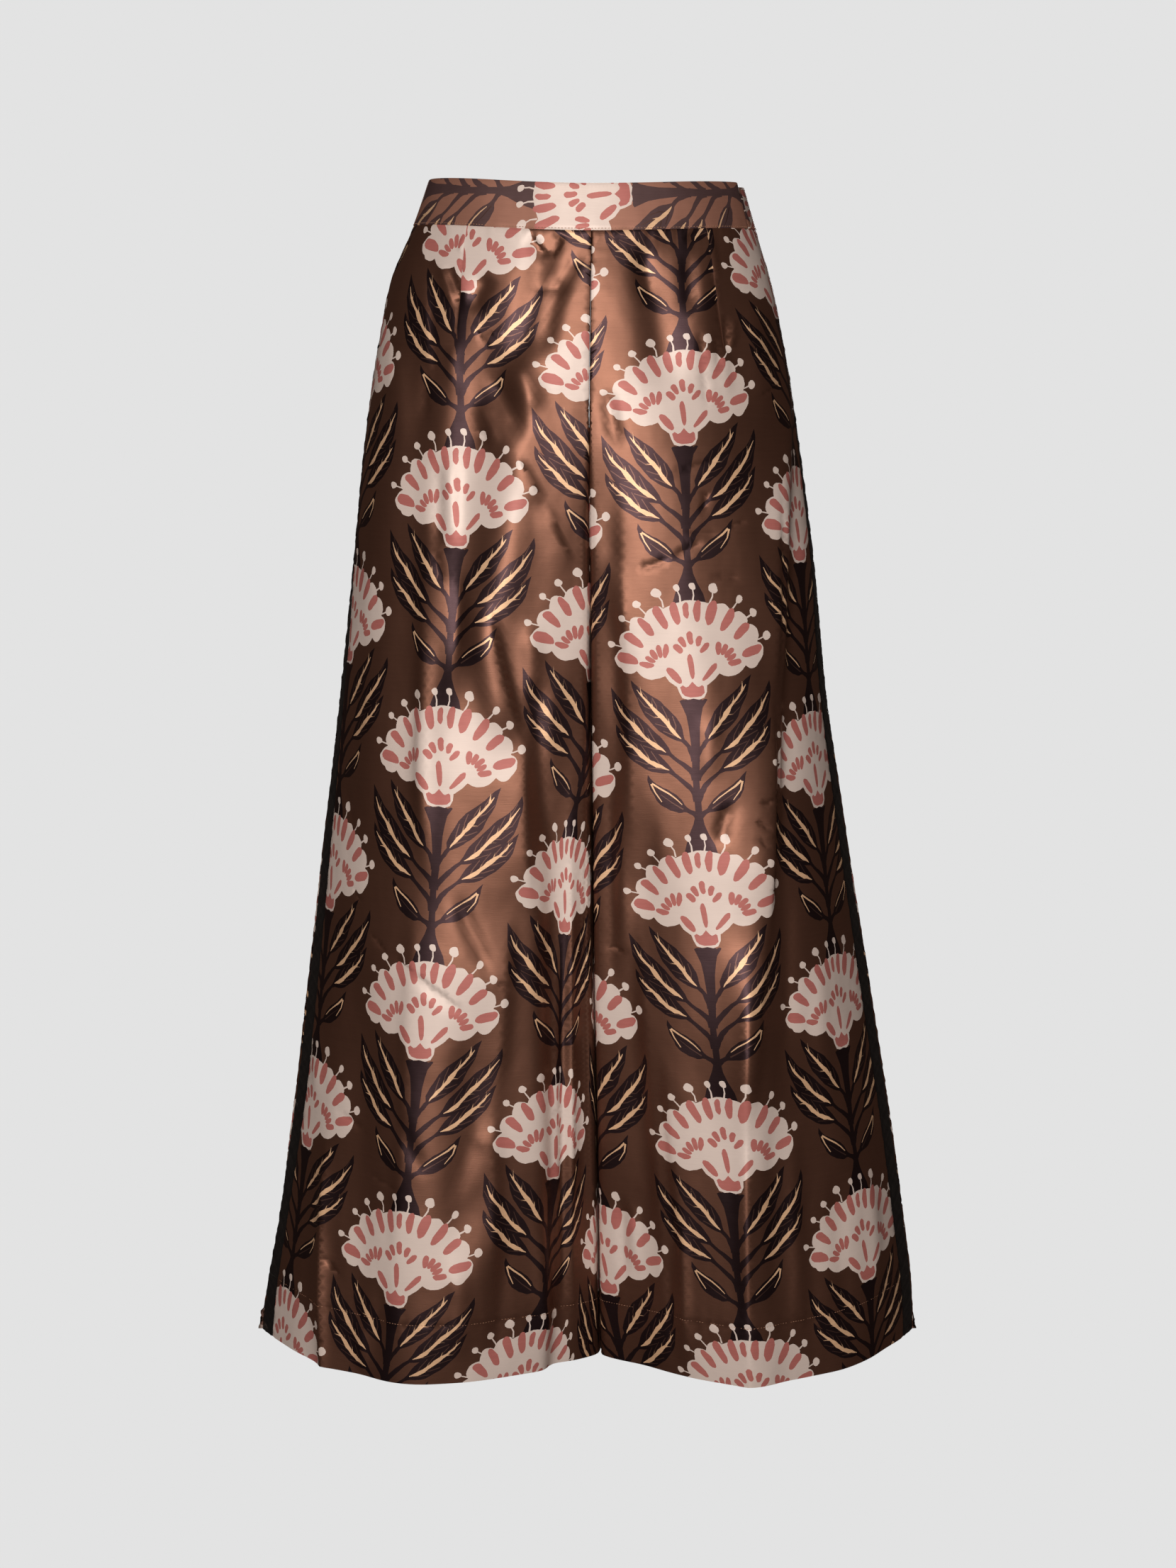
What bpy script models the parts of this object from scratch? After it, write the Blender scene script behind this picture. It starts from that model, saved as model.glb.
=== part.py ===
"""Palazzo pants, filled out as worn: a two-piece waistband, four leg panels and two side stripes.

Metres, +Z up. The origin is at the centre of the waist, half way up the waistband.
The front faces -Y and the wearer's left is +X. Every piece is one closed thin wall.
"""
import math
from functools import lru_cache

import bpy
import numpy as np

# ---------------------------------------------------------------- driving sizes
BAND_HALF = 0.019            # half the waistband's height
HEM_Z = -0.985               # height of the hem
HEM_DEPTH = 0.052            # how far the hem is turned up
HEM_STEP = 0.003             # height over which the turned-up hem thickens the wall
CROTCH_Z = -0.285            # lowest point of the crotch seam
CROTCH_TOP = {"front": -0.165, "back": -0.125}   # where the crotch curve leaves the flat seam
STRIPE_WIDTH = 0.024         # side stripe, seam to seam
SEAM_GAP = 0.0003            # between two pieces that are sewn together
PANEL_WALL = 0.0016          # wall of the leg panels and stripes
HEM_WALL = 0.0026            # wall of the turned-up hem
BAND_WALL = 0.0022           # wall of the waistband
FRONT_DIP = 0.010            # how far the waist dips at the centre front
BACK_RISE = 0.004            # how far it rises at the centre back
LEFT_DROP = 0.0035           # how much lower it sits at the wearer's left side
DIP_FADE_Z = -0.20           # below this height the dip has faded out
OPENING_DROP = 0.005         # the back band's end sits this much lower at the side opening
OPENING_REACH = 0.060        # and rises to full height over this length
BAND_SPLIT = {"right": 0.002, "left": 0.033}     # front band's ends, forward of the side
HEM_SIDE_RISE = 0.008        # how much higher the hem sits at the sides than in front
HEM_RISE_Z = -0.62           # below this height the hem's rise grows
LEG_GAP = 0.0010             # half the space between the two legs' inner walls
LEG_BOW = 0.005              # how far the inner walls bow sideways
INNER_POWER = 1.8            # how the leg rounds in from its foremost line to the centre
SIDE_CALM = 0.030            # folds fade out this close to the side
CENTRE_CALM = 0.016          # and this close to the centre

# ---------------------------------------------------------------- mesh density
FACE_COLUMNS = 21            # across the front or back of one leg
WALL_COLUMNS = 4             # across half of a leg's inner wall
STRIPE_COLUMNS = 2
BAND_COLUMNS = 13            # from a side to the centre
OUTLINE_SAMPLES = 60         # points of the fine outline that the columns are read from
STEP = 0.0005                # distance used to measure slopes

LEG_SIGN = {"right": -1.0, "left": 1.0}
FACE_SIGN = {"front": -1.0, "back": 1.0}

# A row for each height: where the sides and the line between the legs are (x), how deep the
# front and back bulge and how deep they are beside that line, where the bulge's foremost line
# lies (0 centre, 1 side), and how pointed the side is (1 an ellipse, 2 a parabola).
SECTION_COLUMNS = ("z", "right", "left", "middle", "front", "front_inner",
                   "back", "back_inner", "peak", "point")
SECTIONS = [
    (0.025, 0.1315, 0.1290, 0.0030, 0.0915, 0.0915, 0.0915, 0.0915, 0.01, 1.00),
    (-0.025, 0.1495, 0.1430, 0.0030, 0.1000, 0.1000, 0.1040, 0.1040, 0.01, 1.00),
    (-0.055, 0.1630, 0.1525, 0.0025, 0.1060, 0.1060, 0.1130, 0.1120, 0.03, 1.00),
    (-0.115, 0.1770, 0.1655, 0.0015, 0.1130, 0.1120, 0.1270, 0.1240, 0.10, 1.03),
    (-0.200, 0.1900, 0.1795, 0.0010, 0.1190, 0.1150, 0.1360, 0.1260, 0.20, 1.12),
    (-0.290, 0.1995, 0.1920, 0.0010, 0.1210, 0.1110, 0.1300, 0.1120, 0.32, 1.25),
    (-0.420, 0.2140, 0.2060, 0.0015, 0.1220, 0.1020, 0.1240, 0.0980, 0.42, 1.45),
    (-0.540, 0.2290, 0.2245, 0.0025, 0.1240, 0.0930, 0.1240, 0.0880, 0.46, 1.58),
    (-0.660, 0.2435, 0.2445, 0.0040, 0.1260, 0.0840, 0.1270, 0.0780, 0.48, 1.68),
    (-0.790, 0.2595, 0.2655, 0.0065, 0.1280, 0.0730, 0.1300, 0.0680, 0.49, 1.75),
    (-0.900, 0.2755, 0.2805, 0.0080, 0.1300, 0.0615, 0.1330, 0.0600, 0.49, 1.80),
    (-0.990, 0.2945, 0.2930, 0.0090, 0.1310, 0.0530, 0.1340, 0.0550, 0.48, 1.85),
]

# Where the stripe's back seam lies, measured round the leg from its outermost line, forward
# of it when positive.
STRIPE_COLUMNS_NAMES = ("z", "right", "left")
STRIPE_SEAM = [
    (0.0, -0.018, -0.018),
    (-0.11, -0.017, -0.016),
    (-0.25, -0.014, -0.007),
    (-0.36, -0.007, -0.001),
    (-0.55, 0.000, 0.001),
    (-0.74, 0.003, 0.002),
    (-0.90, -0.005, 0.000),
    (-0.99, 0.000, 0.000),
]

# A row for each large fold: its line runs from (x_top, z_top) to (x_bottom, z_bottom), height is
# proud when positive. A roll is round, a crease is sharp, and a step laps the cloth nearer the
# centre over the cloth nearer the side. A fold that reaches the hem stays open there.
FOLD_COLUMNS = ("leg", "face", "x_top", "z_top", "x_bottom", "z_bottom", "width", "height", "kind")
FOLDS = [
    ("left", "front", 0.050, -0.015, 0.064, -0.170, 0.016, -0.0050, "roll"),
    ("left", "front", 0.088, -0.030, 0.098, -0.160, 0.014, 0.0030, "roll"),
    ("left", "front", 0.174, -0.120, 0.149, -0.700, 0.026, 0.0060, "step"),
    ("left", "front", 0.128, -0.600, 0.136, HEM_Z, 0.018, 0.0060, "crease"),
    ("left", "front", 0.190, -0.640, 0.200, HEM_Z, 0.030, -0.0060, "roll"),
    ("left", "front", 0.045, -0.480, 0.046, HEM_Z, 0.028, -0.0050, "roll"),
    ("right", "front", -0.030, -0.015, -0.060, -0.150, 0.014, -0.0050, "roll"),
    ("right", "front", -0.070, -0.050, -0.134, -0.470, 0.024, -0.0080, "roll"),
    ("right", "front", -0.048, -0.090, -0.078, -0.400, 0.020, 0.0040, "roll"),
    ("right", "front", -0.132, -0.040, -0.160, -0.520, 0.020, -0.0040, "roll"),
    ("right", "front", -0.030, -0.420, -0.022, HEM_Z, 0.014, -0.0060, "roll"),
    ("right", "front", -0.085, -0.640, -0.105, -0.900, 0.022, -0.0050, "roll"),
    ("right", "front", -0.222, -0.780, -0.228, HEM_Z, 0.016, 0.0060, "crease"),
    ("right", "front", -0.190, -0.600, -0.196, HEM_Z, 0.026, -0.0060, "roll"),
    ("left", "back", 0.060, -0.330, 0.070, HEM_Z, 0.026, -0.0070, "roll"),
    ("left", "back", 0.120, -0.260, 0.140, HEM_Z, 0.022, 0.0060, "roll"),
    ("left", "back", 0.165, -0.380, 0.205, HEM_Z, 0.028, -0.0070, "roll"),
    ("left", "back", 0.070, -0.030, 0.085, -0.150, 0.014, -0.0040, "roll"),
    ("right", "back", -0.050, -0.400, -0.062, HEM_Z, 0.028, -0.0070, "roll"),
    ("right", "back", -0.112, -0.300, -0.130, HEM_Z, 0.020, 0.0060, "roll"),
    ("right", "back", -0.158, -0.340, -0.198, HEM_Z, 0.026, -0.0070, "roll"),
    ("right", "back", -0.072, -0.030, -0.090, -0.150, 0.014, -0.0040, "roll"),
]

# ---------------------------------------------------------------- colours
BROWN_CLOTH = (0.27, 0.15, 0.105)
ROSE_CLOTH = (0.62, 0.42, 0.36)
BLACK_SATIN = (0.012, 0.011, 0.011)
SATIN_ROUGHNESS = 0.42


# ---------------------------------------------------------------- reading the tables
def read(columns, rows, name, z):
    """A table's column at height z, on a smooth curve through its rows."""
    knots = np.array([row[columns.index("z")] for row in rows])[::-1]
    values = np.array([row[columns.index(name)] for row in rows])[::-1]
    slopes = np.gradient(values, knots)
    low = int(np.clip(np.searchsorted(knots, z) - 1, 0, len(knots) - 2))
    span = knots[low + 1] - knots[low]
    t = min(max((z - knots[low]) / span, 0.0), 1.0)
    start = (2 * t ** 3 - 3 * t ** 2 + 1) * values[low] + (t ** 3 - 2 * t ** 2 + t) * span * slopes[low]
    end = (3 * t ** 2 - 2 * t ** 3) * values[low + 1] + (t ** 3 - t ** 2) * span * slopes[low + 1]
    return start + end


def section(name, z):
    return read(SECTION_COLUMNS, SECTIONS, name, z)


def stripe_back_seam(leg, z):
    return read(STRIPE_COLUMNS_NAMES, STRIPE_SEAM, leg, z)


def stripe_front_seam(leg, z):
    return stripe_back_seam(leg, z) + STRIPE_WIDTH


def ease(t):
    """0 to 1 with level ends."""
    t = min(max(t, 0.0), 1.0)
    return t * t * (3 - 2 * t)


# ---------------------------------------------------------------- the worn shape
def half_gap(z):
    """Half the space between the left and right cloth at the middle."""
    if z >= -BAND_HALF:
        return 0.0
    return SEAM_GAP / 2 + LEG_GAP * ease((CROTCH_Z - z) / 0.10)


@lru_cache(maxsize=None)
def outline(leg, face, z):
    """Half a section at height z, from the side to the middle: x, y and length along it."""
    sign = LEG_SIGN[leg]
    middle = section("middle", z)
    width = section(leg, z) - sign * middle
    depth = section(face, z)
    inner = section(face + "_inner", z)
    peak = section("peak", z)
    turn = np.linspace(0.0, math.pi / 2, OUTLINE_SAMPLES)
    outer_s = peak + (1 - peak) * np.cos(turn)
    outer_d = depth * np.sin(turn) ** section("point", z)
    inner_s = np.linspace(peak, 0.0, OUTLINE_SAMPLES // 2)[1:]
    inner_d = depth - (depth - inner) * ((peak - inner_s) / peak) ** INNER_POWER
    across = np.concatenate([outer_s, inner_s])
    gap = half_gap(z)
    x = middle + sign * (gap + across * (width - gap))
    y = FACE_SIGN[face] * np.concatenate([outer_d, inner_d])
    length = np.concatenate([[0.0], np.cumsum(np.hypot(np.diff(x), np.diff(y)))])
    return x, y, length


def face_length(leg, face, z):
    return outline(leg, face, z)[2][-1]


def fold_height(leg, face, along, z):
    """How far the folds push the cloth out, at a length along the half section."""
    x, _, length = outline(leg, face, z)
    total = 0.0
    for row in FOLDS:
        fold = dict(zip(FOLD_COLUMNS, row))
        if fold["leg"] != leg or fold["face"] != face:
            continue
        reach = (fold["z_top"] - z) / (fold["z_top"] - fold["z_bottom"])
        if not 0.0 < reach <= 1.0:
            continue
        fold_x = fold["x_top"] + (fold["x_bottom"] - fold["x_top"]) * reach
        order = np.argsort(x)
        fold_at = np.interp(fold_x, x[order], length[order])
        off = (along - fold_at) / fold["width"]
        strength = ease(reach / 0.3)
        if fold["z_bottom"] > HEM_Z:
            strength *= ease((1.0 - reach) / 0.3)
        if fold["kind"] == "roll":
            shape = math.exp(-off * off)
        elif fold["kind"] == "crease":
            shape = math.exp(-2.0 * (math.sqrt(off * off + 0.04) - 0.2))
        else:
            shape = math.tanh(2.5 * off) * math.exp(-off * off)
        total += fold["height"] * strength * shape
    calm = ease(along / SIDE_CALM) * ease((length[-1] - along) / CENTRE_CALM)
    return total * calm


def height_shift(leg, face, along, z):
    """How far the cloth is raised by the waistline's dip and by the hem's rise to the sides."""
    t = along / face_length(leg, face, z)
    swing = math.sin(t * math.pi / 2) ** 2
    dip = swing * (BACK_RISE if face == "back" else -FRONT_DIP)
    if leg == "left":
        dip -= LEFT_DROP * (1 - swing)
    dip *= ease((z - DIP_FADE_Z) / (-BAND_HALF - DIP_FADE_Z))
    rise = HEM_SIDE_RISE * ease(1 - 2 * t) * ease((HEM_RISE_Z - z) / (HEM_RISE_Z - HEM_Z))
    return dip + rise


def flat_point(leg, around, z):
    """The section's own point: around is the length from the side, forward when positive."""
    face = "front" if around >= 0 else "back"
    x, y, length = outline(leg, face, z)
    along = abs(around)
    return np.array([np.interp(along, length, x), np.interp(along, length, y)])


def section_normal(leg, around, z):
    """Outward direction of the section in plan."""
    front_end = face_length(leg, "front", z)
    back_end = face_length(leg, "back", z)
    around = min(max(around, STEP - back_end), front_end - STEP)
    tangent = flat_point(leg, around + STEP, z) - flat_point(leg, around - STEP, z)
    tangent /= np.hypot(*tangent)
    sign = LEG_SIGN[leg]
    return np.array([-sign * tangent[1], sign * tangent[0]])


def cloth_point(leg, around, z):
    """A point of the draped outer surface."""
    face = "front" if around >= 0 else "back"
    along = abs(around)
    base = flat_point(leg, around, z)
    base = base + section_normal(leg, around, z) * fold_height(leg, face, along, z)
    return np.array([base[0], base[1], z + height_shift(leg, face, along, z)])


def cloth_normal(leg, around, z):
    """Outward direction of the draped surface."""
    front_end = face_length(leg, "front", z)
    back_end = face_length(leg, "back", z)
    reach = 6 * STEP
    ahead = cloth_point(leg, min(around + reach, front_end), z)
    behind = cloth_point(leg, max(around - reach, -back_end), z)
    above = cloth_point(leg, around, z + reach)
    below = cloth_point(leg, around, z - reach)
    normal = np.cross(above - below, ahead - behind) * LEG_SIGN[leg]
    return normal / np.linalg.norm(normal)


# ---------------------------------------------------------------- the legs' inner walls
def wall_x(leg, y, z):
    """Side position of a leg's inner wall: both walls bow the same way, a small gap apart."""
    corner = section("front_inner" if y < 0 else "back_inner", z)
    bow = LEG_BOW * ease((CROTCH_TOP["back"] - z) / 0.25) * max(1 - (y / corner) ** 2, 0.0)
    return section("middle", z) + bow + LEG_SIGN[leg] * half_gap(z)


def wall_normal(leg, y, z):
    slope_y = (wall_x(leg, y + STEP, z) - wall_x(leg, y - STEP, z)) / (2 * STEP)
    slope_z = (wall_x(leg, y, z + STEP) - wall_x(leg, y, z - STEP)) / (2 * STEP)
    normal = -LEG_SIGN[leg] * np.array([1.0, -slope_y, -slope_z])
    return normal / np.linalg.norm(normal)


def wall_thickness(z):
    """Wall of a leg panel at height z: thicker where the hem is turned up."""
    return HEM_WALL if z < HEM_Z + HEM_DEPTH - HEM_STEP / 2 else PANEL_WALL


def panel_heights():
    """Heights of the rows that every panel and stripe shares."""
    top = [-BAND_HALF - SEAM_GAP, -0.045, -0.085]
    crotch = [CROTCH_TOP["back"], CROTCH_TOP["front"], -0.205, -0.245, CROTCH_Z]
    hem_line = HEM_Z + HEM_DEPTH
    leg = list(np.linspace(CROTCH_Z, hem_line, 14))[1:]
    return top + crotch + leg + [hem_line - HEM_STEP, HEM_Z]


# ---------------------------------------------------------------- building closed walls
def closed_wall(name, points, normals, thickness, quads, colour):
    """One closed body from an open grid: the outer surface, the same moved in, and the rim."""
    points = np.array(points)
    normals = np.array(normals)
    inner = points - normals * np.array(thickness)[:, None]
    count = len(points)
    triangles = []
    for a, b, c, d in quads:
        facing = np.cross(points[c] - points[a], points[d] - points[b])
        outward = normals[a] + normals[b] + normals[c] + normals[d]
        if facing @ outward < 0:
            b, d = d, b
        triangles += [(a, b, c), (a, c, d)]
    edges = {}
    for triangle in triangles:
        for start, end in zip(triangle, triangle[1:] + triangle[:1]):
            edges[(start, end)] = True
    rim = [edge for edge in edges if edge[::-1] not in edges]
    faces = list(triangles)
    faces += [(c + count, b + count, a + count) for a, b, c in triangles]
    for start, end in rim:
        if points[end][2] > points[start][2]:
            faces += [(end, start, start + count), (end, start + count, end + count)]
        else:
            faces += [(end, start, end + count), (start, start + count, end + count)]
    mesh = bpy.data.meshes.new(name)
    mesh.from_pydata([tuple(p) for p in np.vstack([points, inner])], [], faces)
    mesh.validate()
    mesh.shade_smooth()
    mesh.set_sharp_from_angle(angle=math.radians(40))
    mesh.materials.append(cloth_material(name, colour))
    obj = bpy.data.objects.new(name, mesh)
    bpy.context.collection.objects.link(obj)
    return obj


def cloth_material(name, colour):
    material = bpy.data.materials.new(name)
    material.use_nodes = True
    shader = material.node_tree.nodes["Principled BSDF"]
    shader.inputs["Base Color"].default_value = (*colour, 1.0)
    shader.inputs["Roughness"].default_value = SATIN_ROUGHNESS
    shader.inputs["Metallic"].default_value = 0.0
    return material


def grid_quads(index, rows, columns):
    """Quads of a grid whose point numbers index(row, column) gives."""
    return [(index(j, i), index(j, i + 1), index(j + 1, i + 1), index(j + 1, i))
            for j in range(rows) for i in range(columns)]


def leg_panel(leg, face):
    """Front or back of a leg: its face from the stripe to the middle, then half the inner wall."""
    heights = panel_heights()
    rows = len(heights) - 1
    toward = 1 if face == "front" else -1
    points, normals, thickness = [], [], []
    for z in heights:
        if face == "front":
            start = stripe_front_seam(leg, z) + SEAM_GAP / 2
        else:
            start = stripe_back_seam(leg, z) - SEAM_GAP / 2
        end = toward * face_length(leg, face, z)
        for i in range(FACE_COLUMNS + 1):
            around = start + (end - start) * i / FACE_COLUMNS
            points.append(cloth_point(leg, around, z))
            normals.append(cloth_normal(leg, around, z))
            thickness.append(wall_thickness(z))
    width = FACE_COLUMNS + 1
    quads = grid_quads(lambda j, i: j * width + i, rows, FACE_COLUMNS)

    first = heights.index(CROTCH_TOP[face])
    for j in range(first, rows + 1):
        corner = j * width + FACE_COLUMNS
        z = heights[j]
        y = points[corner][1]
        blend = normals[corner] + wall_normal(leg, y, z)
        normals[corner] = blend / np.linalg.norm(blend)
    wall_start = len(points)
    for j in range(first, rows + 1):
        down = (heights[j] - heights[first]) / (heights[-1] - heights[first])
        for k in range(1, WALL_COLUMNS + 1):
            quarter = math.pi / 2 * k / WALL_COLUMNS
            inward = 1 - math.cos(quarter)
            seam_z = CROTCH_TOP[face] - (CROTCH_TOP[face] - CROTCH_Z) * math.sin(quarter)
            z = seam_z + (HEM_Z - seam_z) * down
            corner_y = FACE_SIGN[face] * section(face + "_inner", z)
            y = corner_y * (1 - inward) + FACE_SIGN[face] * inward * SEAM_GAP / 2
            points.append(np.array([wall_x(leg, y, z), y, z]))
            normals.append(wall_normal(leg, y, z))
            thickness.append(wall_thickness(heights[j]))

    def wall_index(j, k):
        if k == 0:
            return (first + j) * width + FACE_COLUMNS
        return wall_start + j * WALL_COLUMNS + k - 1

    quads += grid_quads(wall_index, rows - first, WALL_COLUMNS)
    return closed_wall(f"{face}_{leg}", points, normals, thickness, quads, BROWN_CLOTH)


def side_stripe(leg):
    """Black satin stripe let in between the front and back panels."""
    points, normals, thickness = [], [], []
    heights = panel_heights()
    for z in heights:
        back = stripe_back_seam(leg, z) + SEAM_GAP / 2
        front = stripe_front_seam(leg, z) - SEAM_GAP / 2
        for i in range(STRIPE_COLUMNS + 1):
            around = back + (front - back) * i / STRIPE_COLUMNS
            points.append(cloth_point(leg, around, z))
            normals.append(cloth_normal(leg, around, z))
            thickness.append(wall_thickness(z))
    width = STRIPE_COLUMNS + 1
    quads = grid_quads(lambda j, i: j * width + i, len(heights) - 1, STRIPE_COLUMNS)
    return closed_wall(f"side_stripe_{leg}", points, normals, thickness, quads, BLACK_SATIN)


def band_stations(face):
    """Places round the waist for one band piece, each a leg and a length round from its side."""
    stations = []
    for leg in ("right", "left"):
        split = BAND_SPLIT[leg]
        if face == "front":
            start = split + SEAM_GAP / 2
            end = face_length(leg, "front", 0.0)
        else:
            start = split - SEAM_GAP / 2
            end = -face_length(leg, "back", 0.0)
        run = [(leg, start + (end - start) * i / BAND_COLUMNS) for i in range(BAND_COLUMNS + 1)]
        stations += run if leg == "right" else run[::-1][1:]
    return stations


def waistband(face, colour):
    """Front or back half of the waistband, from one side to the other."""
    levels = [-BAND_HALF, 0.0, BAND_HALF]
    stations = band_stations(face)
    points, normals, thickness = [], [], []
    for z in levels:
        for leg, around in stations:
            side = "front" if around >= 0 else "back"
            scale = face_length(leg, side, z) / face_length(leg, side, 0.0)
            here = around * scale
            point = cloth_point(leg, here, z)
            if face == "back" and leg == "left":
                from_end = BAND_SPLIT["left"] - around
                drop = OPENING_DROP * ease(1 - from_end / OPENING_REACH)
                point[2] -= drop * (z + BAND_HALF) / (2 * BAND_HALF)
            points.append(point)
            normals.append(cloth_normal(leg, here, z))
            thickness.append(BAND_WALL)
    width = len(stations)
    quads = grid_quads(lambda j, i: j * width + i, len(levels) - 1, width - 1)
    return closed_wall(f"waistband_{face}", points, normals, thickness, quads, colour)


def clear_scene():
    for obj in list(bpy.data.objects):
        bpy.data.objects.remove(obj, do_unlink=True)


def build():
    clear_scene()
    waistband("front", BROWN_CLOTH)
    waistband("back", ROSE_CLOTH)
    for leg in LEG_SIGN:
        leg_panel(leg, "front")
        leg_panel(leg, "back")
        side_stripe(leg)


build()
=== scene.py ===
"""Looks of the palazzo pants: printed satin panels, black satin side stripes and a waistband.

Metres, +Z up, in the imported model's frame: the origin is the centre of the waist, the front
faces -Y and the wearer's left is +X. Every piece is a closed thin shell on its CAD node's form.
A piece is laid out flat first, in its own (s, z) plane, where the print is drawn on it, and each
flat point is then moved to its place on the worn shape.
"""

import math
from functools import lru_cache

import bpy
import numpy as np
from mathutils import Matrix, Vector
from mathutils.geometry import delaunay_2d_cdt


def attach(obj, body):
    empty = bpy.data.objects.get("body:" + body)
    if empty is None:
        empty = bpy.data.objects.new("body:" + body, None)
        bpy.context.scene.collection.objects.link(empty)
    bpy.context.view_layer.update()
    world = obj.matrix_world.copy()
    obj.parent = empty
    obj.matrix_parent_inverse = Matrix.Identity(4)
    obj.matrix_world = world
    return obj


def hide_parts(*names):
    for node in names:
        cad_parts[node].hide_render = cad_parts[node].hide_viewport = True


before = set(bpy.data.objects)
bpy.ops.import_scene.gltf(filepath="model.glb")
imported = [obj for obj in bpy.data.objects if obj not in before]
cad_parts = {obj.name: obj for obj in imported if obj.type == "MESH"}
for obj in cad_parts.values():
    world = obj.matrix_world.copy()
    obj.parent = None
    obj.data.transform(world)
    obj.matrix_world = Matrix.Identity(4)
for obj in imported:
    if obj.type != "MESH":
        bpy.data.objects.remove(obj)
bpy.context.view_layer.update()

# ---------------------------------------------------------------- driving sizes, as in part.py
BAND_HALF = 0.019            # half the waistband's height
HEM_Z = -0.985               # height of the hem
HEM_DEPTH = 0.052            # how far the hem is turned up
CROTCH_Z = -0.285            # lowest point of the crotch seam
CROTCH_TOP = {"front": -0.165, "back": -0.125}   # where the crotch curve leaves the flat seam
STRIPE_WIDTH = 0.024
SEAM_GAP = 0.00003           # between two sewn pieces laid flat; it is wider once they are in place
FRONT_DIP = 0.010            # how far the waistline sinks at the middle of the front
BACK_RISE = 0.004            # and how far it rises at the middle of the back
LEFT_DROP = 0.0035           # and how much lower the wearer's left side hangs
DIP_FADE_Z = -0.20           # height by which these shifts have gone
OPENING_DROP = 0.005         # how much lower the back band's end lies at the opening
OPENING_REACH = 0.060        # over what length
BAND_SPLIT = {"right": 0.002, "left": 0.033}   # from a side, forward, to where the band's halves meet
HEM_SIDE_RISE = 0.008        # how much higher the hem lies at the sides
HEM_RISE_Z = -0.62           # height where that begins
LEG_GAP = 0.0010             # half the room between the legs' inner walls
LEG_BOW = 0.005              # how far the inner walls bow to the left
INNER_POWER = 1.8            # how fast a face falls back towards the inner wall
SIDE_CALM = 0.030            # over which the large folds fade at a side
CENTRE_CALM = 0.016          # and at the middle

# ---------------------------------------------------------------- sizes of the finer cloth
PANEL_WALL = 0.0012          # thickness of a panel
HEM_WALL = 0.0024            # of the turned-up hem
BAND_WALL = 0.0020           # of the waistband
HEM_FADE = 0.003             # height over which the wall thickens at the hem's top
HEM_CURL = 0.0045            # how far the turned-up hem leans in at its lower edge
HEM_CURL_ABOVE = 0.012       # from how far above the hem's top
HEM_CURL_POWER = 1.6
ROLL_DEPTH = 0.0008          # how far a sewn edge rolls in
ROLL_WIDTH = 0.0015          # and over what width
CORNER_ROUND = 0.009         # reach of the rounding where a leg's face turns into its inner wall
SIDE_ROUND = 0.004           # and where front turns into back
ROUND_END = 2.2              # where the rounding ends, in reaches
BAND_PROUD = 0.0006          # how far the waistband stands proud of the panels
CREASE_SIDE_CALM = 0.010     # over which the finer folds fade at a side
CREASE_CENTRE_CALM = 0.004   # and at the middle
SPACING = 0.0056             # between the points of a panel's mesh, and half that in a fold
FOLD_STEP = 0.0020           # distance over which a fold's bend is measured
FOLD_BEND = 0.00036          # the bend that calls for the closer points
CORNER_REACH = 0.006         # and how near a leg's inner corner the points are always closer
EDGE_ROWS = (0.0005, 0.0010, 0.0016)   # distances from a sewn edge of the rows of points along it
BAND_SPACING = 0.0032        # between the points of a waistband's mesh
STRIPE_SPACING = 0.0028      # and of a stripe's
STITCH_PITCH = 0.0026        # from one stitch to the next
STITCH_LENGTH = 0.0019
STITCH_RADIUS = 0.00026
EDGE_STITCH = 0.0014         # from the waistband's lower edge to its stitches
STITCH_END = 0.002           # from a piece's end to its row of stitches
HEM_STITCH_END = 0.003       # and from a panel's seams to the hem's row
STITCH_PROUD = 0.25          # how far a stitch's middle stands out, in its radius
STITCH_DIP = 0.6             # how far its ends dip from there
STITCH_SHOULDER = 0.72       # where its shoulders are, and their radius, in its own
LONG_ROW, SHORT_ROW = 200, 20   # points that place a row of stitches
FOLD_FADE = 0.3              # share of a large fold over which each end fades
CREASE_FADE = 0.35           # and of a crease
GROOVE_REACH = 0.0011        # of the groove that the hem's stitches pull
SLOPE_STEP = 0.0012          # distance over which slopes are measured

LEG_SIGN = {"right": -1.0, "left": 1.0}
FACE_SIGN = {"front": -1.0, "back": 1.0}

# The section at each height: how far it reaches to the right and left, where its middle lies, how
# deep each face is at its deepest and at the middle, how far out the deepest place lies, as a
# share, and how pointed the sides are.

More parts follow.
